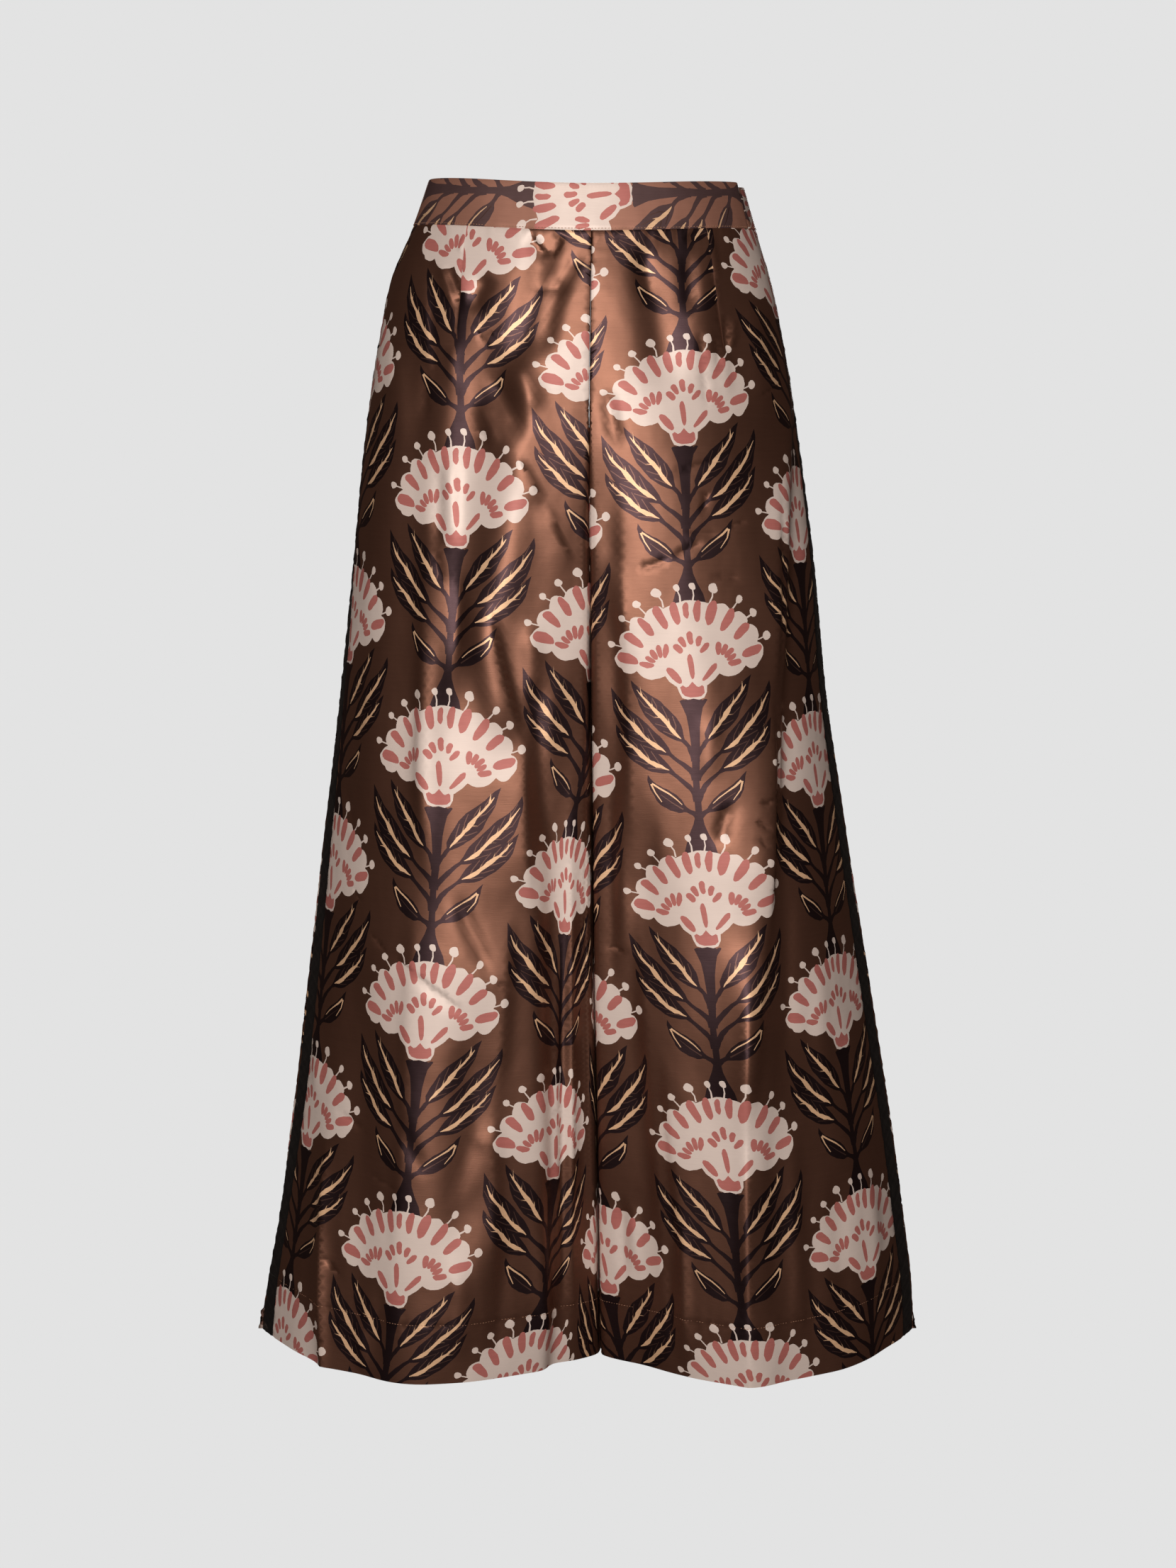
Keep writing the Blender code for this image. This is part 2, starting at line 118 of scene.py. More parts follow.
SECTION_COLUMNS = ("z", "right", "left", "middle", "front", "front_inner",
                   "back", "back_inner", "peak", "point")
SECTIONS = [
    (0.025, 0.1315, 0.1290, 0.0030, 0.0915, 0.0915, 0.0915, 0.0915, 0.01, 1.00),
    (-0.025, 0.1495, 0.1430, 0.0030, 0.1000, 0.1000, 0.1040, 0.1040, 0.01, 1.00),
    (-0.055, 0.1630, 0.1525, 0.0025, 0.1060, 0.1060, 0.1130, 0.1120, 0.03, 1.00),
    (-0.115, 0.1770, 0.1655, 0.0015, 0.1130, 0.1120, 0.1270, 0.1240, 0.10, 1.03),
    (-0.200, 0.1900, 0.1795, 0.0010, 0.1190, 0.1150, 0.1360, 0.1260, 0.20, 1.12),
    (-0.290, 0.1995, 0.1920, 0.0010, 0.1210, 0.1110, 0.1300, 0.1120, 0.32, 1.25),
    (-0.420, 0.2140, 0.2060, 0.0015, 0.1220, 0.1020, 0.1240, 0.0980, 0.42, 1.45),
    (-0.540, 0.2290, 0.2245, 0.0025, 0.1240, 0.0930, 0.1240, 0.0880, 0.46, 1.58),
    (-0.660, 0.2435, 0.2445, 0.0040, 0.1260, 0.0840, 0.1270, 0.0780, 0.48, 1.68),
    (-0.790, 0.2595, 0.2655, 0.0065, 0.1280, 0.0730, 0.1300, 0.0680, 0.49, 1.75),
    (-0.900, 0.2755, 0.2805, 0.0080, 0.1300, 0.0615, 0.1330, 0.0600, 0.49, 1.80),
    (-0.990, 0.2945, 0.2930, 0.0090, 0.1310, 0.0530, 0.1340, 0.0550, 0.48, 1.85),
]

# Where each stripe's back seam lies, as a length from the side, forward when positive.
STRIPE_COLUMNS = ("z", "right", "left")
STRIPE_SEAM = [
    (0.0, -0.018, -0.018),
    (-0.11, -0.017, -0.016),
    (-0.25, -0.014, -0.007),
    (-0.36, -0.006, 0.000),
    (-0.55, 0.0025, 0.0035),
    (-0.74, 0.0055, 0.0045),
    (-0.90, -0.0025, 0.0025),
    (-0.99, 0.0025, 0.0025),
]

# Folds and creases are in tenths of a millimetre, by leg and face. A fold runs from (x_top, z_top)
# to (x_bottom, z_bottom), -9850 being the hem, and is proud when its height is positive.
FOLD_COLUMNS = ("kind", "x_top", "z_top", "x_bottom", "z_bottom", "width", "height")
FOLDS = {
    ("right", "front"): [
        ("roll", -300, -150, -600, -1500, 140, -50), ("roll", -700, -500, -1340, -4700, 240, -80),
        ("roll", -480, -900, -780, -4000, 200, 40), ("roll", -1320, -400, -1600, -5200, 200, -40),
        ("roll", -300, -4200, -220, -9850, 140, -30), ("step", -370, -4200, -310, -9850, 240, -50),
        ("roll", -850, -6400, -1050, -9000, 220, -50), ("crease", -2220, -7800, -2280, -9850, 160, 60),
        ("roll", -1900, -6000, -1960, -9850, 260, -60)],
    ("left", "front"): [
        ("roll", 500, -150, 640, -1700, 160, -50), ("roll", 880, -300, 980, -1600, 140, 30),
        ("step", 1740, -1200, 1490, -7000, 260, 60), ("crease", 1280, -6000, 1360, -9850, 180, 40),
        ("step", 1500, -5800, 1580, -9850, 440, 80), ("roll", 1900, -6400, 2000, -9850, 300, -40),
        ("roll", 450, -4800, 460, -9850, 280, -50)],
    ("right", "back"): [
        ("roll", -500, -4000, -620, -9850, 280, -70), ("roll", -1120, -3000, -1300, -9850, 200, 60),
        ("roll", -1580, -3400, -1980, -9850, 260, -70), ("roll", -720, -300, -900, -1500, 140, -40)],
    ("left", "back"): [
        ("roll", 600, -3300, 700, -9850, 260, -70), ("roll", 1200, -2600, 1400, -9850, 220, 60),
        ("roll", 1650, -3800, 2050, -9850, 280, -70), ("roll", 700, -300, 850, -1500, 140, -40)],
}

# ---------------------------------------------------------------- finer folds, only in this scene
# A line across the cloth as seen from the front or back, from (x0, z0) to (x1, z1), bowed
# sideways by bow; proud when height is positive. Soft is round, sharp is pressed or pinched, and
# steep falls off fast on one side: to the right of a line that runs down. Each face's first row
# is its dart, and its second is the fullness that the dart lets out at its point.
CREASE_REACH = {"soft": 2.6, "sharp": 3.6, "steep": 6.8}    # in widths
CREASE_COLUMNS = ("kind", "x0", "z0", "x1", "z1", "bow", "width", "height")
CREASES = {
    ("right", "front"): [
        ("sharp", -1000, -260, -1080, -1180, 10, 12, -9), ("soft", -1080, -1120, -1120, -1600, 20, 60, 12),
        ("steep", -488, -220, -306, -430, 10, 32, -24), ("steep", -212, -220, -306, -430, -10, 32, -22),
        ("soft", -39, -310, -295, -810, 5, 70, -26), ("soft", -168, -640, -485, -690, -10, 50, -12),
        ("soft", -185, -520, -384, -1320, 15, 80, -32), ("soft", -1235, -480, -1088, -880, -15, 38, 22),
        ("soft", -1157, -520, -1029, -930, -10, 42, -22), ("soft", -790, -560, -958, -940, 30, 80, -42),
        ("sharp", -1015, -260, -1049, -440, 0, 24, 12), ("sharp", -925, -1030, -804, -1230, 5, 16, -10),
        ("sharp", -814, -1080, -687, -1070, 5, 18, 9), ("steep", -1365, -490, -1318, -1850, -15, 60, 22),
        ("soft", -819, -1380, -524, -2020, -20, 90, -46), ("soft", -627, -1260, -438, -1800, -30, 90, 32),
        ("soft", -914, -1620, -751, -2080, -15, 70, 26), ("steep", -599, -2050, -352, -2500, 15, 44, 18),
        ("steep", -367, -2460, -106, -3040, 10, 44, 15), ("soft", -1139, -2030, -1122, -2930, 10, 70, 32),
        ("soft", -1234, -2020, -1252, -2960, 5, 60, -26), ("soft", -1279, -2830, -1187, -3160, 15, 40, -14),
        ("soft", -1306, -1270, -1375, -1850, 0, 50, -18), ("sharp", -958, -1880, -813, -1980, 0, 22, -9),
        ("soft", -1582, -1090, -1553, -2090, 10, 90, 16), ("soft", -1078, -2950, -1090, -3930, -10, 65, -26),
        ("soft", -970, -3000, -664, -4500, 20, 110, 26), ("steep", -839, -3210, -531, -4540, 25, 80, 50),
        ("steep", -536, -4270, -503, -5930, 10, 90, 44), ("steep", -662, -5740, -797, -7590, -10, 120, 44),
        ("steep", -801, -7110, -819, -9750, 0, 130, 46), ("steep", -1365, -5620, -1333, -2370, 0, 130, 42),
        ("steep", -1635, -9530, -1377, -5330, 10, 140, 46), ("soft", -1343, -3360, -1325, -5680, 20, 70, 28),
        ("soft", -502, -3390, -444, -4160, -20, 90, 28), ("soft", -1102, -5620, -745, -6450, 20, 80, -24),
        ("steep", -1680, -6180, -944, -6740, -15, 28, -17), ("sharp", -770, -6420, -636, -6510, 0, 20, -9),
        ("sharp", -1980, -5730, -1897, -5830, 5, 20, -12), ("sharp", -1827, -6070, -1668, -6210, 5, 22, -12),
        ("soft", -2175, -7610, -1886, -7780, 10, 30, -10), ("soft", -1141, -7510, -744, -7860, 30, 70, 10),
        ("soft", -737, -7480, -1084, -8420, -30, 110, 10), ("soft", -896, -7530, -1204, -8350, -20, 100, -9),
        ("soft", -1643, -7370, -1314, -8110, 20, 70, -15), ("sharp", -1886, -8110, -1538, -8180, 10, 26, -11),
        ("sharp", -2252, -8900, -2114, -9050, 5, 22, -14), ("soft", -2313, -8270, -2281, -9800, 5, 80, 15),
        ("soft", -2166, -8450, -2231, -9850, 5, 80, -16), ("soft", -740, -8570, -759, -9820, 20, 90, -26),
        ("soft", -1126, -8660, -1075, -9810, -20, 90, 22), ("soft", -1693, -8870, -1818, -9820, 20, 90, -24),
        ("soft", -1955, -9360, -1957, -9850, 0, 50, 18), ("soft", -410, -8370, -306, -9850, 10, 80, 22),
        ("soft", -2298, -6870, -2336, -7670, 10, 46, 14), ("soft", -405, -3580, -322, -5590, 30, 70, -26),
        ("soft", -1772, -3610, -1834, -5380, 20, 100, 18), ("soft", -2068, -4840, -1967, -5290, 0, 40, -12),
        ("soft", 5, -4300, 0, -9850, 4, 44, -60), ("soft", -122, -4500, -124, -9850, 4, 32, 22),
        ("soft", -66, -4700, -72, -9850, 4, 28, -18), ("soft", -178, -5540, -172, -9830, 8, 32, -22),
        ("soft", -236, -5960, -233, -9690, 6, 36, 15)],
    ("left", "front"): [
        ("sharp", 975, -260, 1114, -1230, 10, 12, -11), ("soft", 1114, -1180, 1150, -1650, 20, 60, 14),
        ("steep", 1586, -1850, 1486, -4350, 0, 120, 60), ("steep", 1496, -3940, 1474, -6150, 0, 120, 65),
        ("steep", 1463, -5740, 1293, -7800, 0, 100, 55), ("steep", 415, -5940, 269, -2080, 0, 110, 46),
        ("steep", 674, -9490, 394, -5580, 10, 120, 46), ("soft", 1567, -2200, 1561, -4180, 0, 30, -30),
        ("soft", 1529, -3830, 1547, -6110, 0, 32, -34), ("soft", 763, -280, 988, -200, 5, 32, -18),
        ("steep", 991, -210, 1080, -630, 5, 34, 11), ("soft", 1212, -920, 1160, -1260, 5, 32, 14),
        ("soft", 1125, -890, 1135, -1260, 5, 30, -13), ("soft", 440, -280, 557, -880, 20, 80, -32),
        ("soft", 801, -350, 832, -950, -15, 70, -28), ("soft", 899, -960, 987, -1800, 10, 34, -14),
        ("soft", 1031, -1030, 1079, -1440, 5, 30, -11), ("soft", 1350, -650, 1489, -1850, 20, 100, 24),
        ("sharp", 1383, -1620, 1651, -1480, 5, 18, -14), ("soft", 643, -2280, 1204, -2090, -10, 30, -11),
        ("soft", 388, -3020, 683, -2920, 8, 30, -13), ("soft", 663, -2920, 958, -2790, 5, 32, -14),
        ("soft", 916, -2580, 984, -2360, 5, 26, -11), ("sharp", 1135, -2680, 1296, -2620, 5, 18, -9),
        ("soft", 781, -2710, 1097, -2730, 15, 26, -8), ("soft", 994, -3040, 1272, -3100, 10, 26, -9),
        ("soft", 149, -1500, 259, -2080, 20, 70, -28), ("soft", 184, -2830, 306, -3580, 20, 80, 20),
        ("sharp", 1361, -4970, 1575, -4860, 5, 22, -15), ("sharp", 1341, -5070, 1472, -5180, -5, 24, -14),
        ("sharp", 1364, -5220, 1468, -5320, 5, 20, -11), ("soft", 1182, -4890, 1082, -5320, 15, 65, -28),
        ("soft", 302, -4400, 307, -6560, 15, 70, 22), ("soft", 188, -4520, 189, -6690, 10, 60, -20),
        ("sharp", 157, -6170, 307, -6230, -8, 20, -14), ("soft", 1321, -6320, 1273, -7800, -5, 64, 18),
        ("soft", 1268, -7500, 1355, -9800, -10, 64, 18), ("steep", 566, -6950, 786, -9260, 15, 70, -30),
        ("soft", 268, -8300, 292, -9190, 10, 45, -26), ("soft", 356, -8350, 399, -9040, 5, 40, 15),
        ("soft", 796, -8330, 838, -9800, 5, 50, 26), ("soft", 678, -8600, 695, -9830, 5, 50, -22),
        ("soft", 1733, -7490, 1837, -9750, 15, 90, 28), ("soft", 1522, -7110, 1572, -9700, 15, 90, -22),
        ("soft", 2127, -7940, 2245, -9660, 15, 90, -24), ("soft", 2408, -8160, 2522, -9540, 5, 70, 20),
        ("soft", 1679, -5600, 1713, -7130, 10, 70, -20), ("soft", 1909, -6100, 2081, -7800, 10, 80, 20),
        ("soft", 1025, -4160, 988, -4790, 10, 90, 18), ("soft", 535, -4860, 470, -5940, 10, 90, -16)],
    ("right", "back"): [
        ("sharp", -760, -220, -860, -1500, 10, 12, -10), ("soft", -860, -1450, -900, -1900, 20, 70, 14),
        ("sharp", -240, -220, -400, -560, -20, 34, -22), ("soft", -140, -500, -400, -1500, 40, 80, -34),
        ("soft", -1060, -280, -1260, -1000, 30, 60, -30), ("soft", -1220, -600, -1520, -1900, 40, 90, 30),
        ("soft", -280, -1600, -760, -2700, -40, 70, 30), ("steep", -40, -2280, -560, -3200, 40, 44, -28),
        ("steep", -60, -2740, -440, -4000, 30, 50, -30), ("soft", -1300, -2400, -1440, -4600, -40, 90, -36),
        ("soft", -920, -3000, -980, -5200, 30, 80, 28), ("soft", -1620, -3000, -1780, -5600, 30, 90, 30),
        ("soft", -640, -4000, -700, -7600, 20, 70, -32), ("soft", -260, -4600, -300, -9800, 10, 50, -30),
        ("steep", -1150, -5400, -1240, -8600, -20, 80, 30), ("soft", -1500, -6400, -1640, -9850, 20, 80, -34),
        ("steep", -860, -7800, -900, -9850, 10, 22, 22), ("soft", -2120, -6200, -2280, -9850, 10, 80, 30),
        ("soft", -1900, -7000, -2020, -9400, 10, 60, -26), ("steep", -720, -5600, -1060, -5840, 10, 22, -14),
        ("sharp", -1420, -5000, -1180, -4740, 10, 22, -13),
        ("sharp", -1640, -7600, -1960, -7780, 10, 22, -14), ("steep", -500, -8720, -820, -8560, 10, 24, -14)],
    ("left", "back"): [
        ("sharp", 760, -220, 860, -1500, 10, 12, -10), ("soft", 860, -1450, 900, -1900, 20, 70, 14),
        ("sharp", 300, -220, 460, -620, 20, 36, -24), ("steep", 580, -220, 490, -600, 10, 34, -20),
        ("soft", 160, -400, 320, -1300, 30, 80, -30), ("soft", 1000, -260, 1280, -1180, 40, 80, -34),
        ("soft", 1200, -400, 1440, -1500, 30, 90, 28), ("soft", 200, -1200, 540, -2450, 40, 80, -34),
        ("steep", 70, -2360, 740, -3120, -40, 40, -26), ("soft", 100, -2660, 620, -3720, -30, 60, 26),
        ("steep", 120, -3050, 480, -4300, -20, 50, -26), ("soft", 1150, -1900, 1380, -4200, 40, 90, 34),
        ("soft", 1460, -2100, 1650, -3500, 30, 80, -32), ("soft", 840, -3500, 920, -6000, 30, 80, 28),
        ("steep", 1120, -4300, 1240, -7000, -30, 80, -36), ("soft", 1500, -5000, 1720, -8000, 30, 90, 30),
        ("soft", 300, -4200, 360, -7200, 20, 60, -28), ("soft", 520, -5600, 580, -9800, 20, 70, -34),
        ("soft", 300, -7000, 340, -9800, 10, 50, 26), ("steep", 960, -7000, 1040, -9850, 10, 24, 24),
        ("soft", 1400, -7800, 1500, -9850, 10, 60, -30), ("soft", 2050, -6600, 2260, -9850, 20, 80, -30),
        ("soft", 1800, -6000, 1900, -7800, 20, 60, 22), ("sharp", 600, -5000, 920, -4820, 10, 22, -14),
        ("steep", 1260, -6060, 960, -6340, 10, 22, -14), ("sharp", 1500, -7000, 1820, -6820, 10, 22, -13),
        ("steep", 660, -8240, 920, -8460, -10, 24, -14), ("sharp", 1760, -8840, 2010, -8660, 10, 22, -12)],
}

# ---------------------------------------------------------------- colours, linear
GROUND = (0.172, 0.0755, 0.0475)
BAND_PAINTED_LIGHT_GROUND = (0.310, 0.138, 0.092)   # painted light: a lighter copy of the ground, so the band, which lies flat, looks evenly lit
CREAM = (0.620, 0.490, 0.420)
CORAL = (0.400, 0.125, 0.104)
AUBERGINE = (0.042, 0.023, 0.024)
# painted light: a lighter copy of the aubergine for the band, so it looks evenly lit
BAND_PAINTED_LIGHT_AUBERGINE = (0.085, 0.045, 0.043)
GOLD = (0.720, 0.420, 0.240)
VEIN = (0.120, 0.060, 0.046)
REVERSE = (0.110, 0.052, 0.036)
REVERSE_LIGHT = (0.300, 0.210, 0.170)
BLACK = (0.0045, 0.0040, 0.0040)
THREAD = (0.330, 0.165, 0.100)
BLACK_THREAD = (0.020, 0.018, 0.018)
BACKGROUND = (0.768, 0.768, 0.768)
FLOOR_Z = -1.9
FLOOR_RADIUS = 4.0
FLOOR_CORNERS = 96


# ---------------------------------------------------------------- reading the tables
def read(columns, rows, name, z):
    """A table's column at heights z, on a smooth curve through its rows."""
    knots = np.array([row[columns.index("z")] for row in rows])[::-1]
    values = np.array([row[columns.index(name)] for row in rows])[::-1]
    slopes = np.gradient(values, knots)
    low = np.clip(np.searchsorted(knots, z) - 1, 0, len(knots) - 2)
    span = knots[low + 1] - knots[low]
    t = np.clip((z - knots[low]) / span, 0.0, 1.0)
    start = (2 * t ** 3 - 3 * t ** 2 + 1) * values[low]
    start = start + (t ** 3 - 2 * t ** 2 + t) * span * slopes[low]
    end = (3 * t ** 2 - 2 * t ** 3) * values[low + 1] + (t ** 3 - t ** 2) * span * slopes[low + 1]
    return start + end


def lines(columns, table, leg, face):
    """The folds or creases of a face in metres, each by its columns' names."""
    return [dict(zip(columns, [kind, *(size / 10000 for size in sizes)]))
            for kind, *sizes in table[leg, face]]


def section(name, z):
    return read(SECTION_COLUMNS, SECTIONS, name, z)


def stripe_back_seam(leg, z):
    return read(STRIPE_COLUMNS, STRIPE_SEAM, leg, z)


def stripe_front_seam(leg, z):
    return stripe_back_seam(leg, z) + STRIPE_WIDTH


def ease(t):
    """0 to 1 with level ends."""
    t = np.clip(t, 0.0, 1.0)
    return t * t * (3 - 2 * t)


# ---------------------------------------------------------------- the worn shape
LEVEL_STEP = 0.002
LEVELS = np.arange(-1.006, 0.034, LEVEL_STEP)
EVEN = np.linspace(0.0, 1.0, 201)
OUTER_SAMPLES, INNER_SAMPLES = 500, 250   # of a half section, outside and inside its deepest place


def half_gap(z):
    """Half the space between the left and right cloth at the middle."""
    return np.where(z >= -BAND_HALF, 0.0, SEAM_GAP / 2 + LEG_GAP * ease((CROTCH_Z - z) / 0.10))


@lru_cache(maxsize=None)
def half(leg, face):
    """Half sections at all levels, from side to middle in even steps: x, y and whole length."""
    sign = LEG_SIGN[leg]
    z = LEVELS[:, None]
    middle, peak, depth = section("middle", z), section("peak", z), section(face, z)
    width = section(leg, z) - sign * middle
    inner = section(face + "_inner", z)
    turn = np.linspace(0.0, math.pi / 2, OUTER_SAMPLES)[None, :]
    outer_s = peak + (1 - peak) * np.cos(turn)
    outer_d = depth * np.sin(turn) ** section("point", z)
    inner_s = peak * np.linspace(1.0, 0.0, INNER_SAMPLES)[None, 1:]
    inner_d = depth - (depth - inner) * (1 - inner_s / peak) ** INNER_POWER
    gap = half_gap(z)
    x = middle + sign * (gap + np.hstack([outer_s, inner_s]) * (width - gap))
    y = FACE_SIGN[face] * np.hstack([outer_d, inner_d])
    length = np.hstack([np.zeros_like(z), np.cumsum(np.hypot(np.diff(x), np.diff(y)), axis=1)])
    total = length[:, -1]
    even_x = np.array([np.interp(EVEN * w, l, row) for w, l, row in zip(total, length, x)])
    even_y = np.array([np.interp(EVEN * w, l, row) for w, l, row in zip(total, length, y)])
    return even_x, even_y, total


def cubic_weights(t):
    """Weights of four neighbouring samples for a smooth curve through them."""
    return ((-t + 2 * t ** 2 - t ** 3) / 2, (2 - 5 * t ** 2 + 3 * t ** 3) / 2,
            (t + 4 * t ** 2 - 3 * t ** 3) / 2, (t ** 3 - t ** 2) / 2)


def sample(grid, row, column):
    """A grid's value between its points, on a smooth surface through them."""
    j = np.clip(np.floor(row).astype(int), 1, grid.shape[0] - 3)
    i = np.clip(np.floor(column).astype(int), 1, grid.shape[1] - 3)
    down, across = cubic_weights(row - j), cubic_weights(column - i)
    return sum(down[b] * across[a] * grid[j - 1 + b, i - 1 + a] for b in range(4) for a in range(4))


def half_length(leg, face, z):
    return np.interp(z, LEVELS, half(leg, face)[2])


def plan_point(leg, face, along, z):
    """The section's own point at a length from the side, and its outward direction in plan."""
    grid_x, grid_y, _ = half(leg, face)
    row = (z - LEVELS[0]) / LEVEL_STEP
    column = along / half_length(leg, face, z) * (len(EVEN) - 1)
    x, y = sample(grid_x, row, column), sample(grid_y, row, column)
    last = len(EVEN) - 1
    ahead, behind = np.clip(column + 0.5, 1.0, last), np.clip(column - 0.5, 0.0, last - 1.0)
    dx = sample(grid_x, row, ahead) - sample(grid_x, row, behind)
    dy = sample(grid_y, row, ahead) - sample(grid_y, row, behind)
    size = np.hypot(dx, dy)
    turn = -LEG_SIGN[leg] * FACE_SIGN[face]
    return x, y, -turn * dy / size, turn * dx / size


@lru_cache(maxsize=None)
def fold_tracks(leg, face):
    """Where each fold of this face lies, as a length from the side at every level."""
    grid_x, _, total = half(leg, face)
    tracks = []
    for fold in lines(FOLD_COLUMNS, FOLDS, leg, face):
        reach = (fold["z_top"] - LEVELS) / (fold["z_top"] - fold["z_bottom"])
        fold_x = fold["x_top"] + (fold["x_bottom"] - fold["x_top"]) * reach
        sign = LEG_SIGN[leg]
        at = [np.interp(sign * x, sign * line[::-1], EVEN[::-1] * whole)
              for x, line, whole in zip(fold_x, grid_x, total)]
        tracks.append((fold, np.array(at)))
    return tracks


def fold_height(leg, face, along, z):
    """How far the large folds push the cloth out."""
    total = np.zeros_like(z)
    for fold, at in fold_tracks(leg, face):
        reach = (fold["z_top"] - z) / (fold["z_top"] - fold["z_bottom"])
        off = (along - np.interp(z, LEVELS, at)) / fold["width"]
        strength = ease(reach / FOLD_FADE)
        if fold["z_bottom"] > HEM_Z:
            strength = strength * ease((1.0 - reach) / FOLD_FADE)
        if fold["kind"] == "roll":
            shape = np.exp(-off * off)
        elif fold["kind"] == "crease":
            shape = np.exp(-2.0 * (np.sqrt(off * off + 0.01) - 0.1))
        else:
            shape = np.tanh(2.5 * off) * np.exp(-off * off)
        total += fold["height"] * strength * shape
    calm = ease(along / SIDE_CALM) * ease((half_length(leg, face, z) - along) / CENTRE_CALM)
    return total * calm


def crease_height(leg, face, x, z):
    """How far the finer folds push the cloth out, at a place seen from the front or back."""
    total = np.zeros_like(z)
    for crease in lines(CREASE_COLUMNS, CREASES, leg, face):
        start, end = np.array([crease["x0"], crease["z0"]]), np.array([crease["x1"], crease["z1"]])
        run = end - start
        size = np.hypot(*run)
        reach = crease["width"] * CREASE_REACH[crease["kind"]] + abs(crease["bow"])
        near = (np.abs(x - (start[0] + end[0]) / 2) < abs(run[0]) / 2 + reach)
        near &= (np.abs(z - (start[1] + end[1]) / 2) < abs(run[1]) / 2 + reach)
        if not near.any():
            continue
        over, down = x[near] - start[0], z[near] - start[1]
        t = np.clip((over * run[0] + down * run[1]) / size ** 2, 0.0, 1.0)
        side = (over * run[1] - down * run[0]) / size - crease["bow"] * 4 * t * (1 - t)
        off = side / crease["width"]
        if crease["kind"] == "sharp":
            shape = np.exp(-1.6 * (np.sqrt(off * off + 0.01) - 0.1))
        elif crease["kind"] == "steep":
            shape = np.exp(-(off * np.where(side > 0, 0.38, 1.5)) ** 2)
        else:
            shape = np.exp(-off * off)
        total[near] += crease["height"] * ease(np.minimum(t, 1 - t) / CREASE_FADE) * shape
    return total


def drape_height(leg, face, along, z, x=None):
    """How far all the folds of a face push the cloth out; they fade at its two ends."""
    if x is None:
        x = plan_point(leg, face, along, z)[0]
    calm = ease(along / CREASE_SIDE_CALM)
    calm = calm * ease((half_length(leg, face, z) - along) / CREASE_CENTRE_CALM)
    return fold_height(leg, face, along, z) + crease_height(leg, face, x, z) * calm


def height_shift(leg, face, along, z):
    """How far the cloth is raised by the waistline's dip and by the hem's rise to the sides."""
    t = along / half_length(leg, face, z)
    swing = np.sin(np.clip(t, 0.0, 1.0) * math.pi / 2) ** 2
    dip = swing * (BACK_RISE if face == "back" else -FRONT_DIP)
    if leg == "left":
        dip = dip - LEFT_DROP * (1 - swing)
    dip = dip * ease((z - DIP_FADE_Z) / (-BAND_HALF - DIP_FADE_Z))
    rise = HEM_SIDE_RISE * ease(1 - 2 * t) * ease((HEM_RISE_Z - z) / (HEM_RISE_Z - HEM_Z))
    return dip + rise


def hem_curl(z):
    """How far the cloth leans in towards the hem."""
    reach = HEM_DEPTH + HEM_CURL_ABOVE
    down = np.clip((HEM_Z + HEM_DEPTH + HEM_CURL_ABOVE - z) / reach, 0.0, None)
    return -HEM_CURL * down ** HEM_CURL_POWER


def face_cloth(leg, face, along, z, lift=0.0):
    """The draped outer surface of one face, pushed out further by lift."""
    x, y, nx, ny = plan_point(leg, face, along, z)
    out = drape_height(leg, face, along, z, x) + hem_curl(z) + lift
    return np.column_stack([x + nx * out, y + ny * out, z + height_shift(leg, face, along, z)])


def cloth(leg, around, z, lift=0.0):
    """The draped outer surface, around being the length from the side, forward when positive."""
    lift = np.broadcast_to(lift, z.shape)
    points = np.empty((len(z), 3))
    for face, chosen in (("front", around >= 0), ("back", around < 0)):
        if chosen.any():
            points[chosen] = face_cloth(leg, face, np.abs(around[chosen]), z[chosen], lift[chosen])
    return points


def inner_wall(leg, face, inward, z, lift=0.0):
    """A leg's inner wall, inward being 0 at the face and 1 at the inseam."""
    corner = section(face + "_inner", z) + hem_curl(z)
    y = FACE_SIGN[face] * corner * (1 - inward)
    bow = LEG_BOW * ease((CROTCH_TOP["back"] - z) / 0.25) * np.clip(1 - (y / corner) ** 2, 0.0, None)
    x = section("middle", z) + bow + LEG_SIGN[leg] * (half_gap(z) - lift)
    shift = height_shift(leg, face, half_length(leg, face, z), z)
    return np.column_stack([x, y, z + shift])


def rounded(surface, s, z, corner, reach):
    """A surface with its fold at s = corner rounded off, reach being how far that goes."""
    points = surface(s, z)
    near = (np.abs(s - corner) < ROUND_END * reach) & (reach > 0)
    if near.any():
        soft = np.zeros((near.sum(), 3))
        fade = np.clip(ROUND_END - np.abs(s - corner)[near] / reach[near], 0.0, 1.0)
        for step, weight in ((-1.0, 1), (-0.5, 4), (0.0, 6), (0.5, 4), (1.0, 1)):
            soft += weight / 16 * surface(s[near] + step * reach[near] * fade, z[near])
        points[near] = soft
    return points


def roll_in(distance):
    """How far the cloth rolls in at a distance from a sewn edge."""
    return -ROLL_DEPTH * np.clip(1 - distance / ROLL_WIDTH, 0.0, 1.0) ** 2


def waves(t, lengths, seed):
    """An uneven ripple between -1 and 1 along t, of waves of these lengths."""
    rng = np.random.default_rng(seed)
    total = sum(np.sin(2 * math.pi * t / length + phase)
                for length, phase in zip(lengths, rng.uniform(0, 2 * math.pi, len(lengths))))
    return total / len(lengths)


# Cloth puckers along its seams: how high, in waves of which lengths, and how far from the seam.
PUCKERS = {
    "side": (0.00035, (0.009, 0.014, 0.023), 0.010),
    "middle": (0.00025, (0.011, 0.017, 0.029), 0.008),
    "waist": (0.00030, (0.008, 0.013, 0.021), 0.012),
    "hem": (0.00040, (0.009, 0.016, 0.027), 0.010),
    "band": (0.00035, (0.016, 0.027, 0.043), 0.010),
}
SOFT_WAVE = 0.0011           # height of a panel's broad soft waves


